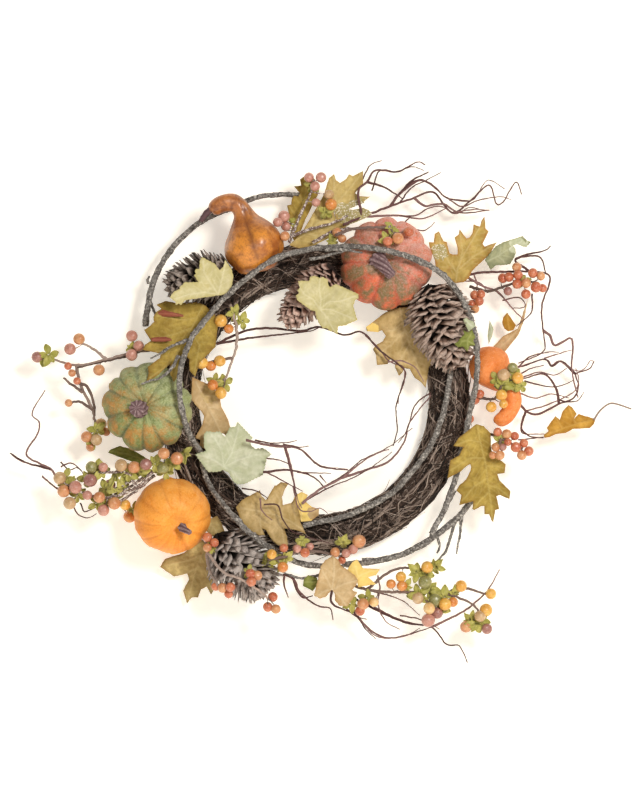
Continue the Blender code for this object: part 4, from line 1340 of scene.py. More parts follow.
@dataclass
class Studio:
    """A white wall and floor, a soft key light from the front right, a fill and the camera."""

    distance: float = 4.49
    lens: float = 200.0
    wall_gap: float = 0.0012
    floor_level: float = -1.2
    wall_glow: float = 0.42
    key_power: float = 42.5
    fill_power: float = 6.0
    room_light: float = 0.22
    aim: Vector = field(default_factory=lambda: CENTRE + Vector((0.006, 0.0, 0.0)))

    def surface(self, name: str, location: Vector, turn: tuple, one_sided: bool) -> None:
        """A large matt sheet.

        Args:
            name: its name.
            location: its middle.
            turn: its rotation in radians.
            one_sided: whether it can be seen through from behind.
        """
        sheet = primitive("plane", size=8.0, location=location, rotation=turn)
        sheet.name = name
        made = bpy.data.materials.new(f"{name}_matt_emulsion")
        made.use_nodes = True
        tree = made.node_tree
        shader = tree.nodes["Principled BSDF"]
        for key, value in (("Base Color", linear("#F8F3EA")), ("Roughness", 1.0),
                           ("Emission Color", linear("#FFFCF6")),
                           ("Emission Strength", self.wall_glow),
                           ("Specular IOR Level", 0.0)):
            shader.inputs[key].default_value = value
        if one_sided:
            clear = add_node(tree, "BsdfTransparent")
            side = add_node(tree, "NewGeometry", give="Backfacing")
            both = add_node(tree, "MixShader", {0: side, 1: shader.outputs[0], 2: clear})
            tree.links.new(both, tree.nodes["Material Output"].inputs["Surface"])
        sheet.data.materials.append(made)

    def lamp(self, name: str, place: tuple, size: float, power: float, colour: str) -> None:
        """A square soft light aimed at the wreath."""
        lamp = bpy.data.lights.new(name, "AREA")
        lamp.size, lamp.energy, lamp.color = size, power, linear(colour)[:3]
        holder = hold(name, lamp)
        holder.location = self.aim + Vector(place)
        holder.rotation_euler = Vector(place).to_track_quat("Z", "Y").to_euler()

    def build(self) -> None:
        """Set up the wall, the floor, the lights, the world and the camera."""
        self.surface("wall", Vector((0, self.wall_gap, 0)), (math.pi / 2, 0, 0), True)
        self.surface("floor", Vector((0, 0, self.floor_level)), (0, 0, 0), False)
        self.lamp("key_softbox", (0.85, -2.25, 0.7), 0.5, self.key_power, "#FFFAF2")
        self.lamp("fill_softbox", (-1.6, -2.6, 0.5), 1.6, self.fill_power, "#FFF8F0")
        world = bpy.data.worlds.new("studio")
        bpy.context.scene.world = world
        world.use_nodes = True
        back = world.node_tree.nodes["Background"]
        back.inputs["Color"].default_value = linear("#FFF6EC")
        back.inputs["Strength"].default_value = self.room_light
        bpy.context.scene.view_settings.view_transform = "Standard"
        lens = bpy.data.cameras.new("camera")
        lens.lens, lens.sensor_width = self.lens, 36.0
        holder = hold("camera", lens)
        holder.location = self.aim + Vector((0, -self.distance, 0))
        holder.rotation_euler = (math.pi / 2, 0, 0)
        bpy.context.scene.camera = holder


# The fifth colour of each brushed foam is frosting and painted highlight on the lit side.
PUMPKINS = (
    Pumpkin("green_pumpkin", (-166, -7, 52), 45, 33, 11, 0.1, (-6, 2, 60),
            brushed_foam(
                "brushed_foam_green", "#747F48", "#98A168", "#56642E", "#45583A", "#BEC69C",
                Coat("#B8803A", size_mm=13.0, low=0.42, high=0.56, cover=0.92,
                     where="frost", bare=0.8, full=0.35)),
            ((-173, -9, 80), (-174, -8.5, 85), (-175.5, -8, 90)), 6.6, 7.8, 9, 0.1, (0.5, 0.6)),
    Pumpkin("orange_pumpkin", (-142, -115, 49), 38.5, 36, 10, 0.022, (12, -16, 60),
            brushed_foam(
                "brushed_foam_orange", "#E88824", "#F7A03C", "#CC7420", "#D67A20", "#FFBC66",
                Coat("#FCAE48", size_mm=20.0, low=0.45, high=0.62, cover=0.6), 0.45),
            ((-131, -126, 82), (-127, -129, 88), (-123, -131, 93)), 3.4, 2.6, 5, 0.12, (0.2, 0.7)),
    Pumpkin("red_pumpkin", (72, 136, 57), 46.5, 27, 10, 0.085, (0, 3, 60),
            brushed_foam(
                "brushed_foam_red", "#C25A3A", "#E2724A", "#8E7A54", "#B4503A", "#D8B2A8",
                Coat("#6E6440", size_mm=12.0, low=0.4, high=0.56, cover=0.95,
                     where="frost", bare=0.95, full=0.5)),
            ((63, 140, 80), (69, 133, 87), (77, 123, 92)), 7.2, 4.4, 8, 0.16, (0.45, 0.8)),
)
GOURDS = (
    Gourd("amber_gourd",
          places("""
        -51 128 57 3, -51.5 130 57 12, -53 134 57 20, -56 141 57 26.5, -60 154 57 30,
        -64 167 57 24.5, -68 178 57 15.5, -71 187 58 10.5, -75 193 59 9, -81 196.5 60 8.8,
        -89 196.5 60 8.8, -96 193 60 8.4, -100 189.5 60 7, -102 187.5 60 4"""),
          AMBER, "gourd_amber", 1.6,
          ((-71, 195, 66), (-67, 178, 80), (-62, 160, 86), (-56, 140, 80))),
    Gourd("crook_gourd",
          places("""
        165.5 51 35 3, 167 48.5 35 10, 169 45 35 15.5, 172 40 35 19.5, 176 34 35 21.5,
        181 27 36 19, 186 21 38 14, 192 16 40 10.4, 197 9 42 9, 199 0 43 8.6, 197 -9 44 8.4,
        191 -17 44 7.8, 184 -22 44 6, 182 -24 44 3"""),
          Finish("brushed_foam_gourd", "#E6803A", (
              Coat("#F29A5A", size_mm=11.0),
              Coat("#DA6E2A", size_mm=4.0, low=0.5, high=0.7, cover=0.7),
              Coat("#FAD0A8", size_mm=1.3, low=0.58, high=0.7, cover=0.6)), 0.5, 2.0, 0.5),
          "gourd_orange", 0.7),
)
# Each cone's first colour is the painted shade between its scales.
CONES = (
    PineCone("pine_cone_upper_left", (-82, 130, 50), (-148, 113, 46), 22,
             cone_scale("weathered_cone_scales", "#1E1512", "#786860", "#BEB2AA"),
             120, 76.0, 40.0, 9.0, 2.2, 5),
    PineCone("pine_cone_top", (21, 131, 60), (-30, 76, 52), 19.5,
             cone_scale("reddish_cone_scales", "#241613", "#AA8274", "#DCC2B6"),
             115, 78.0, 35.0, 11.0, 2.4, 8),
    PineCone("pine_cone_right", (113, 116, 58), (143, 32, 60), 29,
             cone_scale("brown_cone_scales", "#1A110E", "#967A6C", "#D6C2B6"),
             140, 80.0, 48.0, 15.0, 3.0, 3),
    PineCone("pine_cone_bottom", (-94, -138, 44), (-47, -192, 46), 31,
             cone_scale("grey_cone_scales", "#1E1714", "#9A8C86", "#D6CCC6"),
             140, 72.0, 36.0, 11.0, 2.4, 9),
)

BRANCHES = (
    GreyBranch("grey_branch_hoop_wood", places("""
        117 -134 47, 130 -110 47, 141 -80 47, 149 -45 47, 157 -8 50, 162.5 25 58, 161 60 66,
        152 91 72, 134 118 80, 116 132 88, 96 141 92, 76 147 92.5, 51 151.5 88, 21 152 76,
        -9 149 70, -34 142 78, -55 130 80, -79 111 74, -102 87 70, -121 62 76, -131 36 88,
        -133 12 89, -131 -10 83, -124 -34 62, -114 -53 44, -109 -75 42, -100 -93 43,
        -85 -111 58, -65 -131 68, -50 -143 66, -33 -155 54, -14 -163 44, 8 -167 40"""), lines("""
        -126 60 76, -139 54 86, -151 47 88, -162 41 88 / -134 44 86, -142 30 88, -151 23 88,
        -171 16 86 / -4 140 74, 8 142 76, 20 145 80, 36 149 87 / 11 149 78, 31 149 86,
        48 146 90""")),
    GreyBranch("grey_branch_inner_wood", places("""
        137 48 44, 136 22 41, 132 -2 41, 124 -30 41, 111 -55 41, 96 -74 41, 79 -92 41,
        58 -105 41, 32 -116 41, 6 -122 41, -11 -126 42"""), (), 3.0, 2.8),
    GreyBranch("grey_branch_lower_wood", places("""
        31 -165 40, 58 -162 38, 83 -156 38, 103 -148 38, 122 -136 36, 138 -123 36,
        151 -110 37, 161 -97 38, 167 -87 40"""), lines("""
        116 -140 37, 125 -121 36, 135 -104 36, 142 -91 37 / 123 -136 36, 126 -146 34,
        123 -154 33 / 141 -121 36, 137 -137 34, 132 -151 33, 120 -167 32 / 148 -113 37,
        146 -135 35, 143 -154 34 / 31 -165 40, 16 -172 40, -14 -178 42, -44 -166 44 /
        48 -160 38, 78 -158 37, 106 -145 36"""), 3.2, 3.0),
    GreyBranch("grey_branch_outer_wood", places("""
        -14 206 30, -36 206 30, -59 203 31, -82 193 31, -106 183 31, -124 171 31, -140 155 31,
        -152 138 31, -161 119 31, -166 98 32, -169 74 34"""), lines("""
        -165 100 32, -160 88 32, -158 77 32 / -166 117 31, -167 121 33, -165 124 35"""), 2.5, 3.3),
)

LEAVES = (
    Leaf("grape_leaf_upper_left", Cloth.YELLOW_GREEN, "leaf_yellow_green", places("""
        -94 104, -87 105, -82 110, -80 123, -82 130, -88 139, -90 132, -94 129, -98 135,
        -111 142, -113 139, -114 130, -117 130, -118 128, -117 125, -119 124, -115 117,
        -128 117, -133 112, -133 110, -138 108, -143 102, -137 97, -137 94, -134 96, -132 94,
        -128 99"""), (-92, 103, 73), (-111, 142, 83), lines("""
        -95 105, -102 115, -109 127, -110 138 / -95 105, -109 107, -124 105, -138 100 /
        -95 105, -92 118, -89 130, -88 137"""), 2.0, 1.6, 0.5),
    Leaf("grape_leaf_top", Cloth.YELLOW_GREEN, "leaf_yellow_green", places("""
        -16 118, -5 118, -4 122, 1 123, 5 121, 9 122, 14 119, 14 115, 16 112, 19 114, 22 115,
        44 105, 44 101, 41 99, 39 93, 43 79, 35 76, 31 74, 24 73, 23 65, 19 68, 16 68, 13 71,
        9 71, 6 74, 2 82, 1 88, -3 89, -17 99, -18 104, -15 106, -17 109, -14 111"""), (5, 90, 84),
        (45, 104, 88), lines("""
        6 90, -1 100, -10 105, -15 113 / 6 90, 7 100, 5 110, 6 120 / 6 90, 13 82, 18 72, 21 67
        / 6 90, 16 90, 26 86, 40 80 / 6 90, 14 97, 26 98, 41 103"""), 2.5, 1.8, 0.5),
    Leaf("grape_leaf_sage", Cloth.SAGE, "leaf_sage", places("""
        -119 -54, -108 -51, -110 -46, -110 -40, -110 -34, -107 -31, -100 -32, -94 -31,
        -89 -37, -84 -27, -79 -27, -76 -22, -61 -38, -63 -41, -63 -45, -59 -49, -51 -48,
        -42 -54, -47 -58, -51 -75, -70 -84, -77 -84, -82 -80, -85 -73, -90 -70, -97 -72,
        -106 -72"""), (-102, -61, 50), (-43, -53, 50), lines("""
        -90 -67, -100 -60, -110 -56, -118 -55 / -90 -67, -92 -52, -98 -40, -103 -34 / -90 -67,
        -82 -52, -78 -38, -75 -25 / -90 -67, -76 -60, -60 -55, -44 -54 / -90 -67, -80 -72,
        -74 -80"""), 2.5, 2.0, 0.7),
    Leaf("oak_leaf_olive", Cloth.OLIVE, "leaf_olive", places("""
        -118 98, -109 95, -98 84, -96 74, -98 53, -114 37, -118 23, -124 30, -124 40, -127 44,
        -133 28, -139 18, -143 26, -143 36, -157 23, -166 19, -164 27, -165 33, -153 42,
        -152 46, -170 50, -168 55, -162 59, -169 70, -164 73, -159 78, -160 83, -157 88,
        -152 91, -157 95, -148 99, -138 97"""), (-114, 101, 47), (-154, 17, 80), lines("""
        -110 97, -117 82, -125 66, -134 50, -146 34, -163 22 / -117 82, -130 80, -146 82,
        -157 84 / -122 72, -138 66, -152 62, -162 59 / -124 68, -114 55, -117 38, -119 26 /
        -131 56, -146 50, -158 48 / -136 46, -136 34, -139 21"""), 3.0, 1.8, 0.0, 0.0, 1.3),
    Leaf("oak_leaf_top", Cloth.STRAW, "leaf_olive", places("""
        -25 155, -15 152, -1 154, 19 164, 35 175, 52 182, 58 186, 54 190, 49 192, 39 190,
        34 191, 50 197, 50 199, 56 203, 45 204, 41 207, 49 216, 49 229, 39 224, 35 226,
        32 221, 26 217, 22 220, 20 226, 15 222, 10 206, -6 178, -13 167"""), (-22, 157, 41),
        (49, 227, 46), lines("""
        -24 156, -9 166, 6 179, 22 196, 36 212, 47 226 / 22 196, 20 208, 20 223 / 16 189,
        31 194, 44 201, 54 203 / 4 177, 22 179, 38 185, 52 187 / -8 167, 4 164, 14 164"""), 3.0,
        2.4, 0.0, -6.0, 1.25, ((Cloth.FROSTED, (44, 184), 17.0), (Cloth.FROSTED, (29, 190), 8.0))),
    Leaf("oak_leaf_top_left", Cloth.OLIVE, "leaf_olive", places("""
        -18 157, -24 166, -22 173, -27 195, -23 196, -22 202, -20 205, -16 204, -14 207,
        -20 214, -13 215, -14 221, -10 224, -4 221, 0 218, 2 213, 4 206, -9 180"""), (-17, 160, 38),
        (-25, 207, 37), lines("""
        -17 159, -15 175, -12 192, -8 208, -7 220 / -15 178, -20 187, -25 194 / -11 197,
        -15 206, -18 212"""), 2.5, 2.0, 0.0),
    Leaf("oak_leaf_top_right", Cloth.AUTUMN, "leaf_golden", places("""
        140 117, 122 133, 121 140, 116 153, 115 158, 120 158, 121 166, 125 169, 130 159,
        133 158, 136 147, 139 146, 144 146, 144 152, 141 163, 145 166, 146 171, 153 162,
        156 163, 159 168, 160 176, 166 174, 168 180, 171 184, 172 172, 175 169, 169 157,
        171 154, 183 158, 176 146, 159 130, 155 122, 150 118"""), (139, 116, 35), (168, 183, 34),
        lines("""
        142 118, 144 132, 150 146, 160 162, 170 181 / 143 128, 134 140, 127 154, 125 167 /
        146 138, 149 150, 146 168 / 146 132, 160 144, 172 151, 182 157"""), 3.0, 2.2, 0.0, 0.0,
        1.25, ((Cloth.FROSTED, (126, 148), 8.0),)),
    Leaf("curled_leaf_sage", Cloth.FERN, "leaf_sage", places("""
        171 140, 182 154, 190 158, 209 164, 213 160, 217 158, 213 153, 208 154, 204 156,
        199 155, 202 151, 202 146, 199 140, 196 136, 190 135, 182 135, 177 130"""), (173, 133, 42),
        (217, 157, 40),
        lines("172 138, 184 144, 196 152, 208 159 / 184 144, 191 138 / 186 145, 187 153"), 4.0, 1.6,
        0.4, 12.0, 1.2, ((Cloth.SAGE, (204, 155), 9.0),)),
    Leaf("oak_leaf_khaki_inner", Cloth.KHAKI, "leaf_khaki", places("""
        72 88, 52 73, 53 69, 64 68, 68 70, 72 64, 69 59, 62 55, 59 51, 62 45, 63 35, 74 36,
        75 40, 79 41, 82 38, 81 33, 85 24, 89 28, 90 32, 96 31, 101 22, 107 18, 112 12,
        115 33, 119 38, 121 49, 115 67, 104 85, 97 93, 86 93"""), (83, 88, 39), (111, 11, 39),
        lines("""
        86 92, 90 74, 96 56, 103 36, 111 15 / 89 78, 80 70, 72 69 / 91 70, 78 56, 62 44 /
        96 56, 88 44, 85 28 / 94 64, 106 62, 116 60"""), 3.0, 2.0, 0.0, 0.0, 1.3,
        ((Cloth.YELLOW, (59, 71), 6.5),)),
    Leaf("leaf_tan_left", Cloth.TAN, "leaf_khaki", places("""
        -122 23, -106 16, -100 11, -94 2, -93 -6, -86 -20, -84 -27, -86 -38, -90 -34, -94 -33,
        -108 -38, -109 -43, -108 -50, -114 -46, -114 -40, -119 -38, -112 -25, -110 -16,
        -113 -11, -116 -8, -123 1"""), (-112, 24, 43), (-96, -56, 41),
        lines("-118 18, -110 2, -102 -15, -93 -33 / -111 4, -101 4 / -106 -8, -98 -7"), 5.0, 2.0,
        0.0, 0.0, 1.25, ((Cloth.KHAKI, (-105, 5), 8.0),)),
    Leaf("oak_leaf_bottom_inner", Cloth.KHAKI, "leaf_khaki", places("""
        -78 -107, -72 -100, -54 -90, -52 -96, -48 -100, -39 -85, -38 -86, -33 -82, -25 -83,
        -29 -89, -32 -97, -31 -105, -23 -103, -19 -98, -14 -115, -14 -121, -8 -134, -17 -130,
        -30 -128, -27 -136, -26 -145, -30 -146, -36 -145, -41 -141, -48 -130, -52 -128,
        -49 -135, -55 -135, -70 -129"""), (-1, -115, 50), (-76, -108, 50), lines("""
        -10 -130, -24 -121, -38 -115, -54 -111, -74 -108 / -30 -119, -35 -104, -30 -86 /
        -42 -114, -50 -103, -55 -92 / -38 -115, -32 -130, -30 -143 / -52 -111, -54 -122,
        -52 -133"""), 3.0, 2.2, 0.0),
    Leaf("maple_leaf_tan", Cloth.TAN, "leaf_khaki", places("""
        19 -155, 12 -159, 7 -165, 0 -195, 6 -198, 12 -196, 18 -189, 21 -194, 21 -200, 25 -205,
        33 -206, 43 -192, 38 -189, 42 -184, 44 -180, 41 -175, 27 -165, 24 -159"""), (21, -190, 60),
        (19, -153, 63), lines("""
        18 -189, 20 -175, 20 -157 / 18 -189, 12 -190, 2 -196 / 18 -189, 26 -196, 32 -205 /
        18 -189, 12 -177, 7 -167 / 18 -189, 31 -183, 43 -180"""), 3.0, 1.6, 0.4),
    Leaf("leaf_yellow_bottom", Cloth.YELLOW, "leaf_yellow", places("""
        33 -170, 38 -162, 43 -159, 49 -168, 66 -169, 62 -175, 54 -177, 62 -184, 44 -187,
        43 -178"""), (40, -184, 52), (69, -168, 50),
        lines("39 -183, 46 -175, 56 -171, 64 -170 / 44 -177, 41 -166"), 2.0, 1.4, 0.0),
    Leaf("oak_leaf_green_right", Cloth.OLIVE, "leaf_olive", places("""
        162 -24, 144 -38, 139 -46, 149 -47, 145 -55, 136 -60, 133 -78, 147 -71, 152 -66,
        156 -64, 157 -67, 156 -71, 152 -79, 145 -85, 142 -90, 147 -95, 145 -105, 159 -101,
        158 -109, 160 -110, 167 -106, 170 -106, 170 -114, 175 -114, 177 -120, 179 -122,
        181 -110, 185 -109, 182 -96, 186 -95, 195 -99, 196 -91, 185 -80, 183 -74, 190 -73,
        191 -64, 186 -60, 181 -57, 177 -50, 176 -33, 169 -26"""), (161, -25, 56), (177, -121, 54),
        lines("""
        163 -25, 166 -42, 171 -62, 174 -85, 177 -105, 178 -120 / 166 -42, 154 -40, 142 -45 /
        170 -58, 156 -58, 136 -70 / 173 -78, 160 -86, 148 -100 / 174 -85, 184 -88, 194 -96 /
        172 -66, 182 -66, 189 -68 / 175 -92, 166 -100, 160 -108"""), 3.2, 2.4, 0.0),
    Leaf("oak_leaf_golden", Cloth.GOLDEN, "leaf_golden", places("""
        230 -35, 235 -31, 233 -28, 242 -16, 246 -20, 249 -11, 255 -5, 259 -8, 263 -14,
        260 -19, 265 -14, 282 -19, 280 -24, 276 -28, 259 -29, 252 -33, 243 -34, 236 -37,
        231 -38"""), (281, -21, 42), (232, -36, 40), lines("""
        280 -20, 266 -23, 250 -28, 232 -35 / 262 -24, 258 -14, 255 -7 / 248 -28, 244 -20,
        242 -18"""), 2.5, 1.8, 0.0, 8.0, 1.1, (),
        places("280 -20 42, 286 -11 42, 295 -4 40, 303 -4 38, 318 -9 36")),
    Leaf("folded_leaf_tan", Cloth.TAN, "leaf_khaki",
        places("181 54, 190 64, 205 72, 215 102, 211 80, 206 66, 191 47"), (186, 48, 12),
        (213, 99, 24), lines("185 51, 196 61, 207 73, 214 99"), 4.0, 1.6, 0.0, 0.0, 1.2),
    Leaf("oak_leaf_dark", Cloth.DARK, "leaf_dark", places("""
        -113 -140, -131 -154, -150 -160, -155 -168, -141 -178, -128 -175, -126 -181,
        -132 -192, -128 -205, -123 -199, -117 -199, -114 -191, -108 -188, -104 -196,
        -100 -190, -100 -162, -105 -149"""), (-98, -130, 10), (-132, -206, 12), lines("""
        -106 -141, -113 -156, -120 -174, -127 -202 / -113 -156, -128 -162, -148 -166 /
        -117 -168, -124 -172, -134 -177 / -115 -162, -108 -176, -103 -192"""), 2.5, 1.6, 0.0),
    Leaf("leaf_dark_left", Cloth.IVY, "leaf_dark",
        places("-162 -62, -184 -49, -195 -46, -205 -50, -207 -53, -172 -66"), (-162, -62, 26),
        (-207, -52, 28), lines("-162 -63, -184 -55, -205 -51"), 2.0, 1.4, 0.0),
)
SMALL_LEAVES = (
    Scrap("leaf_scrap_yellow_inner", Cloth.YELLOW, "leaf_yellow", places("""
        -19 -95, -12 -92, -6 -95, -9 -101, -2 -107, 5 -109, 5 -115, -3 -121, -13 -122,
        -21 -101"""), (-14, -108, 44), (4, -112, 42), lines("-13 -120, -12 -106, -11 -94"), 2.0,
        1.4, 0.0, 0.0, 1.25, ((Cloth.TAN, (2, -113), 8.0),)),
    Scrap("leaf_scrap_olive_left", Cloth.DARK, "leaf_olive",
        places("-109 -121, -97 -116, -92 -124, -89 -134, -96 -140, -105 -134, -111 -128"),
        (-103, -122, 40), (-92, -136, 40), lines("-107 -120, -100 -129, -94 -137"), 2.0, 1.4, 0.0),
    Scrap("leaf_scrap_husk_right", Cloth.GOLDEN, "leaf_golden",
        places("194 88, 190 83, 189 78, 191 72, 195 69, 200 70, 203 75"), (191, 87, 26),
        (197, 72, 28), lines("194 86, 195 78, 196 71"), 5.0, 1.0, 0.0),
    Scrap("leaf_scrap_grey_right", Cloth.SAGE, "leaf_sage",
        places("176 80, 180 71, 178 63, 175 56, 174 64"), (176, 80, 36), (175, 58, 36),
        lines("176 79, 178 70, 176 58"), 1.0, 0.8, 0.0),
    Scrap("leaf_fold_rust_upper", Cloth.RUST, "leaf_dark",
        places("-156 87, -151 90, -130 85, -130 83, -156 83"), (-129, 84, 62), (-156, 86, 61),
        lines("-155 86, -142 86, -131 84"), -1.5, 0.4, 0.0, 0.0, 0.9),
    Scrap("leaf_fold_rust_lower", Cloth.RUST, "leaf_dark",
        places("-162 62, -147 63, -142 61, -141 59, -147 58, -161 58"), (-141, 60, 72),
        (-161, 60, 74), lines("-160 60, -150 60, -143 60"), -1.5, 0.4, 0.0, 0.0, 0.9),
    Scrap("ivy_scrap_cone_right", Cloth.IVY, "leaf_olive", places("""
        145 61, 149 65, 148 69, 153 67, 157 70, 160 62, 158 59, 160 54, 155 54, 152 48,
        148 53, 143 52, 139 56, 143 58"""), (156, 54, 84), (146, 54, 86),
        lines("152 59, 146 58 / 152 59, 156 66 / 152 59, 153 50 / 152 59, 159 55"), 2.5, 1.5, 0.0,
        0.0, 1.0),
    Scrap("ivy_scrap_cone_right_pale", Cloth.SAGE, "leaf_sage",
        places("148 80, 151 82, 154 79, 158 78, 160 73, 153 68"), (150, 80, 84), (157, 72, 86),
        lines("150 80, 154 75, 157 73"), 2.0, 1.2, 0.0, 0.0, 1.0),
    Scrap("ivy_scrap_bottom", Cloth.IVY, "leaf_olive",
        places("-10 -179, -6 -175, 3 -178, 4 -183, -1 -191, -11 -186"), (-8, -180, 46),
        (2, -184, 46), lines("-10 -182, -4 -182, 2 -182"), 2.5, 1.4, 0.0, 0.0, 1.0),
)

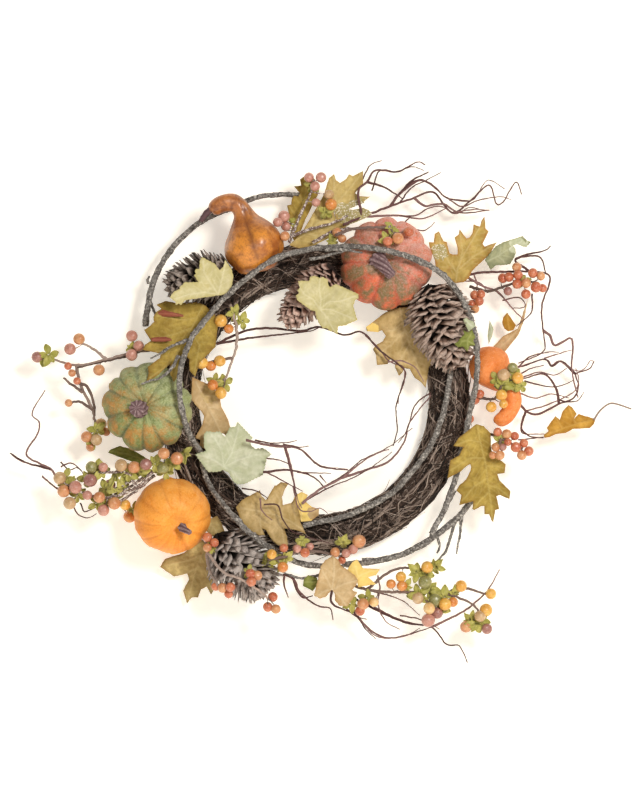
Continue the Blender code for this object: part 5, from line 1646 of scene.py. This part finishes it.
BERRY_SPRAYS = (
    BerrySpray("berry_spray_left_upper", "berry_peach", lines("""
        -164 50 42, -183 47 44, -209 40 44, -238 35 42, -266 42 40 / -238 35 42, -234 15 38,
        -222 -10 34, -219 -30 32 / -222 -10 34, -234 -2 34, -246 -3 34 / -183 45 44,
        -209 39 44, -237 32 42 / -236 17 40, -228 14 38, -222 2 36, -220 -10 34, -221 -20 32 /
        -231 8 40, -244 16 38, -251 22 38 / -207 40 44, -218 49 44, -228 55 44, -236 58 44"""),
        berries("""
        -235 61 44 6 PEACH, -244 51 45 6 PINK, -215 30 46 6 PEACH, -182 64 50 6 PINK,
        -175 54 52 5.5 PINK, -182 45 53 6 PINK, -277 43 40 6 MAUVE, -214 -24 26 6 CREAM,
        -228 -37 35 6 PEACH, -218 -40 38 6 BEIGE, -224 -47 32 5 PEACH, -246 34 46 4 RED,
        -242 27 45 4 PEACH, -237 19 44 4 RED, -246 -3 36 4 PEACH, -209 -32 24 4.5 PEACH"""),
        places("-266 45 42 11, -271 41 40 8, -218 -30 34 10, -222 -41 33 9, -182 52 46 7"), False),
    BerrySpray("berry_spray_left_lower", "berry_peach", lines("""
        -154 -64 66, -177 -87 62, -204 -97 56, -230 -93 50, -252 -82 46 / -177 -87 62,
        -186 -73 62, -209 -72 58, -224 -72 54 / -154 -64 66, -146 -62 68, -138 -60 68 /
        -162 -70 58, -178 -83 54, -196 -94 50, -216 -102 44 / -159 -75 56, -174 -88 52,
        -190 -99 48, -208 -108 42 / -164 -66 60, -182 -80 56, -202 -90 52, -224 -97 46"""),
        berries("""
        -254 -78 50 6.5 BEIGE, -250 -91 52 6.5 PEACH, -244 -103 52 6.5 BEIGE,
        -238 -87 56 6.5 PINK, -222 -67 58 6 OLIVE, -223 -80 60 7 MAUVE, -210 -67 62 5 PINK,
        -192 -65 66 6.5 BEIGE, -179 -67 67 6.5 PEACH, -167 -64 72 6 MAUVE,
        -149 -53 80 6 PEACH, -136 -58 78 6.5 PEACH, -150 -68 74 6 OLIVE, -214 -97 60 6 PEACH,
        -199 -103 60 6.5 PEACH, -210 -110 56 6 PINK, -226 -95 58 5 PINK,
        -189 -105 40 5.5 GOLD, -185 -117 30 6.5 ORANGE, -204 -85 50 6 MAUVE"""), places("""
        -196 -77 56 12, -190 -74 54 11, -248 -78 44 10, -214 -70 54 11, -218 -103 48 9,
        -207 -89 52 11, -226 -78 50 11, -218 -68 52 9, -236 -95 46 9, -184 -73 60 10,
        -172 -70 64 10, -158 -63 68 10, -140 -63 70 10, -210 -103 48 9, -192 -88 50 12,
        -202 -100 46 10, -128 -55 58 10, -148 -72 62 9, -244 -84 44 9, -181 -110 34 9"""), True),
    BerrySpray("berry_spray_inner_left", "berry_peach", lines("""
        -84 95 50, -78 75 52, -77 58 51, -81 42 48, -90 18 48 / -81 42 48, -95 40 48,
        -108 37 50"""), berries("""
        -93 79 54 6.5 GOLD, -85 71 52 5 ORANGE, -112 37 54 6.5 GOLD, -103 34 52 5.5 ORANGE,
        -94 39 54 6 GOLD, -101 15 54 5.5 ORANGE, -93 7 54 6 GOLD"""),
        places("-81 87 50 9, -72 79 46 9, -90 17 46 10, -98 19 44 9"), False),
    BerrySpray("berry_spray_top", "berry_peach", lines("""
        -25 157 48, -14 184 52, -5 203 54, 0 219 57 / -22 164 48, -2 171 53, 20 177 54,
        34 184 56 / -1 157 50, 24 170 52, 58 170 64, 76 172 86"""), berries("""
        -5 222 58 5 PINK, 7 222 58 5.5 PINK, 1 213 60 5 PINK, 17 195 57 6 ORANGE,
        15 205 57 5 BEIGE, -30 183 60 6 PINK, -36 177 66 5 PINK, -28 173 58 5 PINK,
        -29 163 70 5 PEACH, 23 167 58 5 PEACH, 2 197 57 4.5 PINK, 28 161 57 4.5 PEACH"""),
        places("12 188 52 9, 18 159 54 8, -24 178 52 7, -2 214 52 8"), True),
    BerrySpray("berry_spray_red_pumpkin", "berry_orange",
        lines("21 164 66, 38 170 72, 56 171 80, 74 170 84, 81 162 90"),
        berries("83 160 90 6 PEACH, 94 167 84 5.5 RED, 73 157 93 5 RED"),
        places("77 169 82 9, 72 160 84 9"), False),
    BerrySpray("berry_spray_top_right", "berry_orange",
        lines("156 114 36, 174 109 38, 191 114 38, 208 119 38, 224 117 38"), berries("""
        189 122 40 5 RED, 195 123 44 5 RED, 203 133 42 5 PEACH, 204 125 46 5 RED,
        219 127 42 5 RED, 222 113 44 5.5 RED, 212 117 46 5 PEACH, 203 116 46 5 RED,
        212 106 42 5 RED, 161 105 40 5 RED, 165 99 42 5 RED, 227 124 42 4.5 PEACH,
        229 112 40 4.5 RED, 194 109 42 4.5 MAUVE, 167 106 44 4.5 RED, 158 96 40 4.5 RED,
        161 91 42 4.5 PEACH"""), places("210 119 40 8"), False),
    BerrySpray("berry_spray_right", "berry_orange", lines("""
        156 -2 36, 167 2 44, 180 1 54, 186 12 58, 193 23 60 / 156 -2 36, 154 -12 38,
        155 -21 38"""), berries("""
        189 25 63 6.5 BEIGE, 198 32 58 5.5 OLIVE, 203 22 60 6 GOLD, 187 5 57 6 GOLD,
        177 -7 52 5.5 GOLD, 161 0 42 5 RED, 189 -4 58 4.5 GOLD, 166 6 46 4.5 RED,
        156 -19 38 4.5 RED"""), places("189 16 58 11, 199 20 56 11, 183 21 56 9, 206 14 54 8"),
        False),
    BerrySpray("berry_spray_right_lower", "berry_orange", lines("""
        157 -32 30, 174 -34 46, 186 -38 62, 198 -44 62, 208 -49 62 / 186 -38 62, 184 -48 64"""),
        berries("""
        192 -34 64 5 PEACH, 201 -47 66 5.5 RED, 207 -55 64 5 PEACH, 214 -51 62 5 RED,
        185 -55 66 5 PEACH, 183 -32 62 4.5 RED, 200 -36 62 4.5 RED, 193 -42 66 4 RED,
        209 -43 64 4.5 RED, 181 -47 66 4.5 PEACH, 188 -47 66 4 MAUVE, 178 -55 64 4 PEACH"""),
        places("186 -40 60 8"), False),
    BerrySpray("berry_spray_cone", "berry_orange", lines("""
        -107 -141 48, -107 -149 62, -92 -169 82, -74 -177 84, -56 -188 82, -44 -199 70 /
        -107 -149 62, -105 -166 60, -95 -185 66, -85 -188 70"""), berries("""
        -106 -137 64 5 RED, -63 -172 86 5 RED, -56 -174 84 5 PEACH, -62 -180 88 5 RED,
        -91 -187 67 5 PEACH, -83 -186 72 5 RED, -41 -196 68 5 RED, -46 -206 66 5 RED,
        -38 -208 68 5 PEACH, -99 -142 68 4.5 RED, -106 -147 68 4.5 PEACH, -98 -186 62 4.5 RED,
        -85 -193 64 4.5 RED"""), places("-64 -170 80 7, -102 -148 64 7"), False),
    BerrySpray("berry_spray_bottom", "berry_orange",
        lines("-46 -158 80, -30 -156 72, -14 -151 62, 4 -151 58, 24 -155 54, 42 -152 50"),
        berries("""
        -42 -153 82 5 GOLD, -31 -166 76 5.5 ORANGE, -9 -152 64 5 RED, 45 -141 54 7 PEACH,
        39 -149 54 5 PINK, 21 -152 57 5 PEACH, -30 -147 74 4.5 RED, -17 -148 66 4.5 PINK,
        -4 -146 60 4 PINK, 32 -153 56 4.5 PINK, 28 -160 52 4 RED"""), places("""
        29 -141 52 9, -37 -160 70 10, -28 -156 68 9, -12 -141 60 8, -46 -160 66 8"""), False),
    BerrySpray("berry_spray_bottom_right", "berry_peach", lines("""
        30 -180 38, 52 -190 40, 78 -192 42, 106 -192 44, 132 -194 44, 158 -204 42, 168 -218 42
        / 52 -190 40, 76 -172 40, 98 -168 40, 113 -172 44 / 132 -194 44, 148 -188 42,
        174 -195 40 / 106 -192 44, 116 -206 48, 120 -216 48"""), berries("""
        49 -204 46 6 PEACH, 46 -211 44 5 RED, 60 -202 46 5 CREAM, 77 -184 45 5 ORANGE,
        87 -177 44 5.5 GOLD, 88 -186 46 5.5 ORANGE, 113 -167 50 6 GOLD, 111 -182 50 7 OLIVE,
        104 -198 48 6 BEIGE, 115 -208 54 6 CREAM, 114 -220 52 7 PINK, 123 -213 46 6 MAUVE,
        121 -200 48 6.5 OLIVE, 131 -204 50 6.5 GOLD, 139 -202 46 5 ORANGE, 147 -186 46 6 GOLD,
        177 -194 42 5.5 GOLD, 172 -210 46 6.5 GOLD, 166 -216 48 6 BEIGE, 152 -227 42 6 PEACH,
        173 -229 42 5.5 MAUVE"""), places("""
        101 -172 46 11, 123 -166 44 10, 106 -194 46 12, 130 -197 44 11, 161 -224 40 11,
        116 -190 42 12, 140 -192 42 9, 92 -185 42 9, 53 -198 42 9, 36 -204 40 9,
        168 -220 40 10, 126 -208 42 10, 156 -218 38 9, 112 -174 44 10"""), False),
)

CURLY_TWIGS = (
    CurlyTwigs("curly_twigs_top", lines("""
        29 175 54, 48 183 50, 76 194 38, 100 203 28, 119 209 24, 131 196 22, 141 188 22,
        158 201 22, 176 216 22, 183 198 20, 190 199 20, 203 219 18, 209 207 18 / 76 194 38,
        88 209 32, 106 221 28, 122 213 24, 134 203 22, 158 200 22 / 88 209 32, 98 220 30,
        115 229 28 / 48 183 50, 44 208 52, 53 218 48, 62 230 40, 84 229 30, 103 239 26,
        112 236 24 / 53 218 48, 71 213 34, 89 202 32 / 100 203 28, 112 195 26, 129 197 24,
        148 188 22, 176 191 20 / 48 183 50, 84 185 34, 108 182 28, 132 192 22"""), fine=lines("""
        48 220, 56 235, 68 240 / 86 207, 106 220, 121 214, 133 203, 158 200, 171 218, 178 220,
        191 212 / 139 188, 161 191, 176 190 / 98 172, 111 170, 121 178 / 86 198, 98 213,
        112 220, 127 228 / 58 210, 66 230, 82 229, 98 234, 110 230 / 81 185, 102 185, 114 192,
        128 194, 142 187, 156 193, 171 190 / 91 178, 98 185 / 133 203, 148 194, 164 200,
        186 204, 198 201"""), fine_depth=34),
    CurlyTwigs("curly_twigs_upper_right", lines("""
        152 125 28, 170 128 28, 216 129 28, 233 127 26, 237 119 26, 229 95 26, 230 70 26,
        232 53 28, 225 45 30, 205 37 34 / 216 129 28, 202 141 28, 226 144 26, 233 127 26 /
        202 141 28, 213 146 26, 231 150 24, 238 155 22 / 152 125 28, 170 114 28, 185 108 28,
        200 91 28, 210 81 28 / 230 70 26, 237 65 24, 242 55 24, 257 62 24, 260 55 24,
        259 30 26, 265 2 26"""), fine=lines("""
        173 108, 183 109, 201 90, 209 82 / 219 107, 218 88, 203 74 / 146 120, 166 118, 173 110
        / 189 100, 206 103, 212 94, 199 92 / 160 128, 164 115, 162 108"""), fine_depth=27),
    CurlyTwigs("curly_twigs_right", lines("""
        202 2 30, 213 -11 28, 225 -14 26, 246 -4 24, 261 2 23, 266 15 22, 263 26 22,
        276 31 22, 282 39 22 / 213 -11 28, 208 -27 28, 216 -36 30, 230 -38 32 / 263 26 22,
        248 39 24, 239 34 26, 231 41 28, 208 33 32 / 246 -4 24, 243 12 26, 231 26 28,
        209 21 32"""), fine=lines("""
        203 32, 231 41, 239 35, 246 39, 261 30, 271 31, 278 40, 281 39 / 231 42, 258 50 /
        206 25, 216 31, 231 35 / 211 19, 241 13, 261 20 / 205 33, 216 43, 234 48, 246 48 /
        208 22, 226 28, 242 25, 254 32 / 204 8, 222 2, 238 6, 256 2 / 213 -11, 231 -6, 246 0,
        261 8, 266 20, 263 32 / 246 0, 256 -2, 266 0, 271 8 / 205 -40, 216 -39, 233 -37 /
        213 -11, 208 -28, 212 -34, 231 -34"""), fine_depth=26),
    CurlyTwigs("curly_twigs_inner_top", lines("""
        -98 56 44, -69 69 46, -44 72 46, -14 69 46, 6 73 48, 30 65 50, 48 68 52, 64 51 52,
        81 38 52, 91 28 50, 88 14 50, 82 -7 50, 83 -30 50, 79 -46 52 / -98 56 44, -64 62 42,
        -29 66 42, -4 69 44, 6 73 48""")),
    CurlyTwigs("curly_twigs_inner_right", lines("""
        -12 -103 60, 6 -89 56, 27 -78 54, 49 -61 54, 66 -52 54, 75 -49 54 / 27 -78 54,
        52 -70 48, 75 -61 46, 90 -42 46, 96 -22 46, 117 5 48"""), fine=lines("""
        -11 -102, 8 -88, 28 -76, 48 -60, 71 -49, 84 -40, 98 -28 / 116 7, 101 -5, 93 -30,
        84 -43 / -11 -102, 16 -87, 38 -78, 56 -68, 78 -52 / 51 65, 66 50, 76 38, 89 33, 90 18,
        85 4, 84 -4 / 74 38, 88 39, 101 32, 110 18"""), fine_depth=52),
    CurlyTwigs("curly_twigs_inner_left", lines("""
        -68 -40 62, -46 -45 62, -29 -47 60, -14 -49 58, 6 -66 56, 34 -70 54 / -29 -47 60,
        -23 -70 60, -17 -96 62 / -51 -72 60, -34 -70 60, -23 -70 60, -2 -76 56, 12 -89 50"""),
        fine=lines("""
        -44 -44, -14 -49, 6 -65, 34 -69 / -28 -46, -22 -70, -17 -97, -12 -108 / -49 -71,
        -19 -87, -11 -91 / -17 -72, 17 -73 / -54 -98, -52 -110, -42 -120 / -50 -104, -36 -105,
        -32 -117, -24 -129, -11 -135, 16 -143 / -47 -58, -34 -60, -23 -65 / -72 -88, -56 -91,
        -46 -99 / -59 -40, -42 -43, -24 -42, -17 -40 / -31 -44, -14 -47, -5 -46 / -21 -86,
        -15 -108, -4 -111, 6 -108, 14 -113 / 6 -75, 10 -80, 12 -83"""), fine_depth=60),
    CurlyTwigs("curly_twigs_left", lines("""
        -234 -97 38, -257 -78 38, -264 -69 38, -288 -55 36, -277 -34 34, -276 -22 32,
        -283 -13 30, -270 10 28 / -264 -69 38, -288 -63 34, -305 -53 30 / -234 -97 38,
        -257 -89 34, -273 -76 32"""), fine=lines("""
        -264 -70, -294 -61, -305 -53 / -257 -89, -273 -77 / -254 -67, -244 -63, -234 -70,
        -229 -80 / -242 -105, -236 -115, -226 -118, -218 -114 / -234 -103, -230 -112,
        -219 -108, -211 -112 / -254 -62, -246 -70, -238 -68, -232 -72"""), fine_depth=36),
    CurlyTwigs("curly_twigs_bottom", lines("""
        26 -192 30, 48 -203 30, 69 -214 30, 94 -224 30, 118 -228 30, 133 -245 28, 146 -247 28,
        154 -264 26 / 118 -228 30, 148 -213 32, 164 -201 34, 176 -188 34, 186 -170 34 /
        26 -192 30, 43 -217 28, 58 -232 26, 74 -239 26, 93 -236 28, 118 -228 30"""), fine=lines("""
        51 -190, 86 -200, 106 -216 / 46 -200, 86 -220, 118 -228 / 36 -205, 56 -232, 71 -239,
        91 -237, 106 -229 / 31 -208, 42 -217, 53 -220 / 44 -217, 52 -230, 62 -240 / 64 -176,
        66 -190, 64 -205, 72 -222, 86 -230 / 86 -216, 106 -220, 126 -230"""), fine_depth=32),
    CurlyTwigs("curly_twigs_bottom_left", lines("""
        -30 -174 40, -20 -180 40, -14 -193 38, 3 -206 36, 16 -209 34, 19 -221 34 /
        -30 -174 40, -30 -184 40, -26 -198 38 / 18 -190 58, 18 -203 54, 36 -212 50 /
        -21 -178 40, -17 -190 38, -11 -198 37, -1 -196 37"""), in_cad=False),
)


def main() -> None:
    """Build the studio and every piece of the wreath in order, and dress them."""
    for piece in (Studio(), TwigRing(), *BRANCHES, *PUMPKINS, *GOURDS):
        piece.build()
    stem = sweep("amber_gourd_stalk", [tapered(through(
        list(places("-99 192 60, -104 189 60, -109 184 60, -113 178 60")), 1.5), 3.8, 2.4)], 3)
    roughen(stem, 0.7, 2.2)
    coat(stem, PUMPKIN_STEM)
    settle(stem, "fruit_stem", "amber_gourd_stem")
    for piece in (*CONES, *LEAVES, *SMALL_LEAVES):
        piece.build()
    berry, calyx = berry_model(), calyx_model()
    for spray in BERRY_SPRAYS:
        spray.build(berry, calyx)
    discard(berry, calyx)
    for twigs in CURLY_TWIGS:
        twigs.build()


if __name__ == "__main__":
    logging.basicConfig(level=logging.INFO, format="%(name)s %(message)s")
    main()
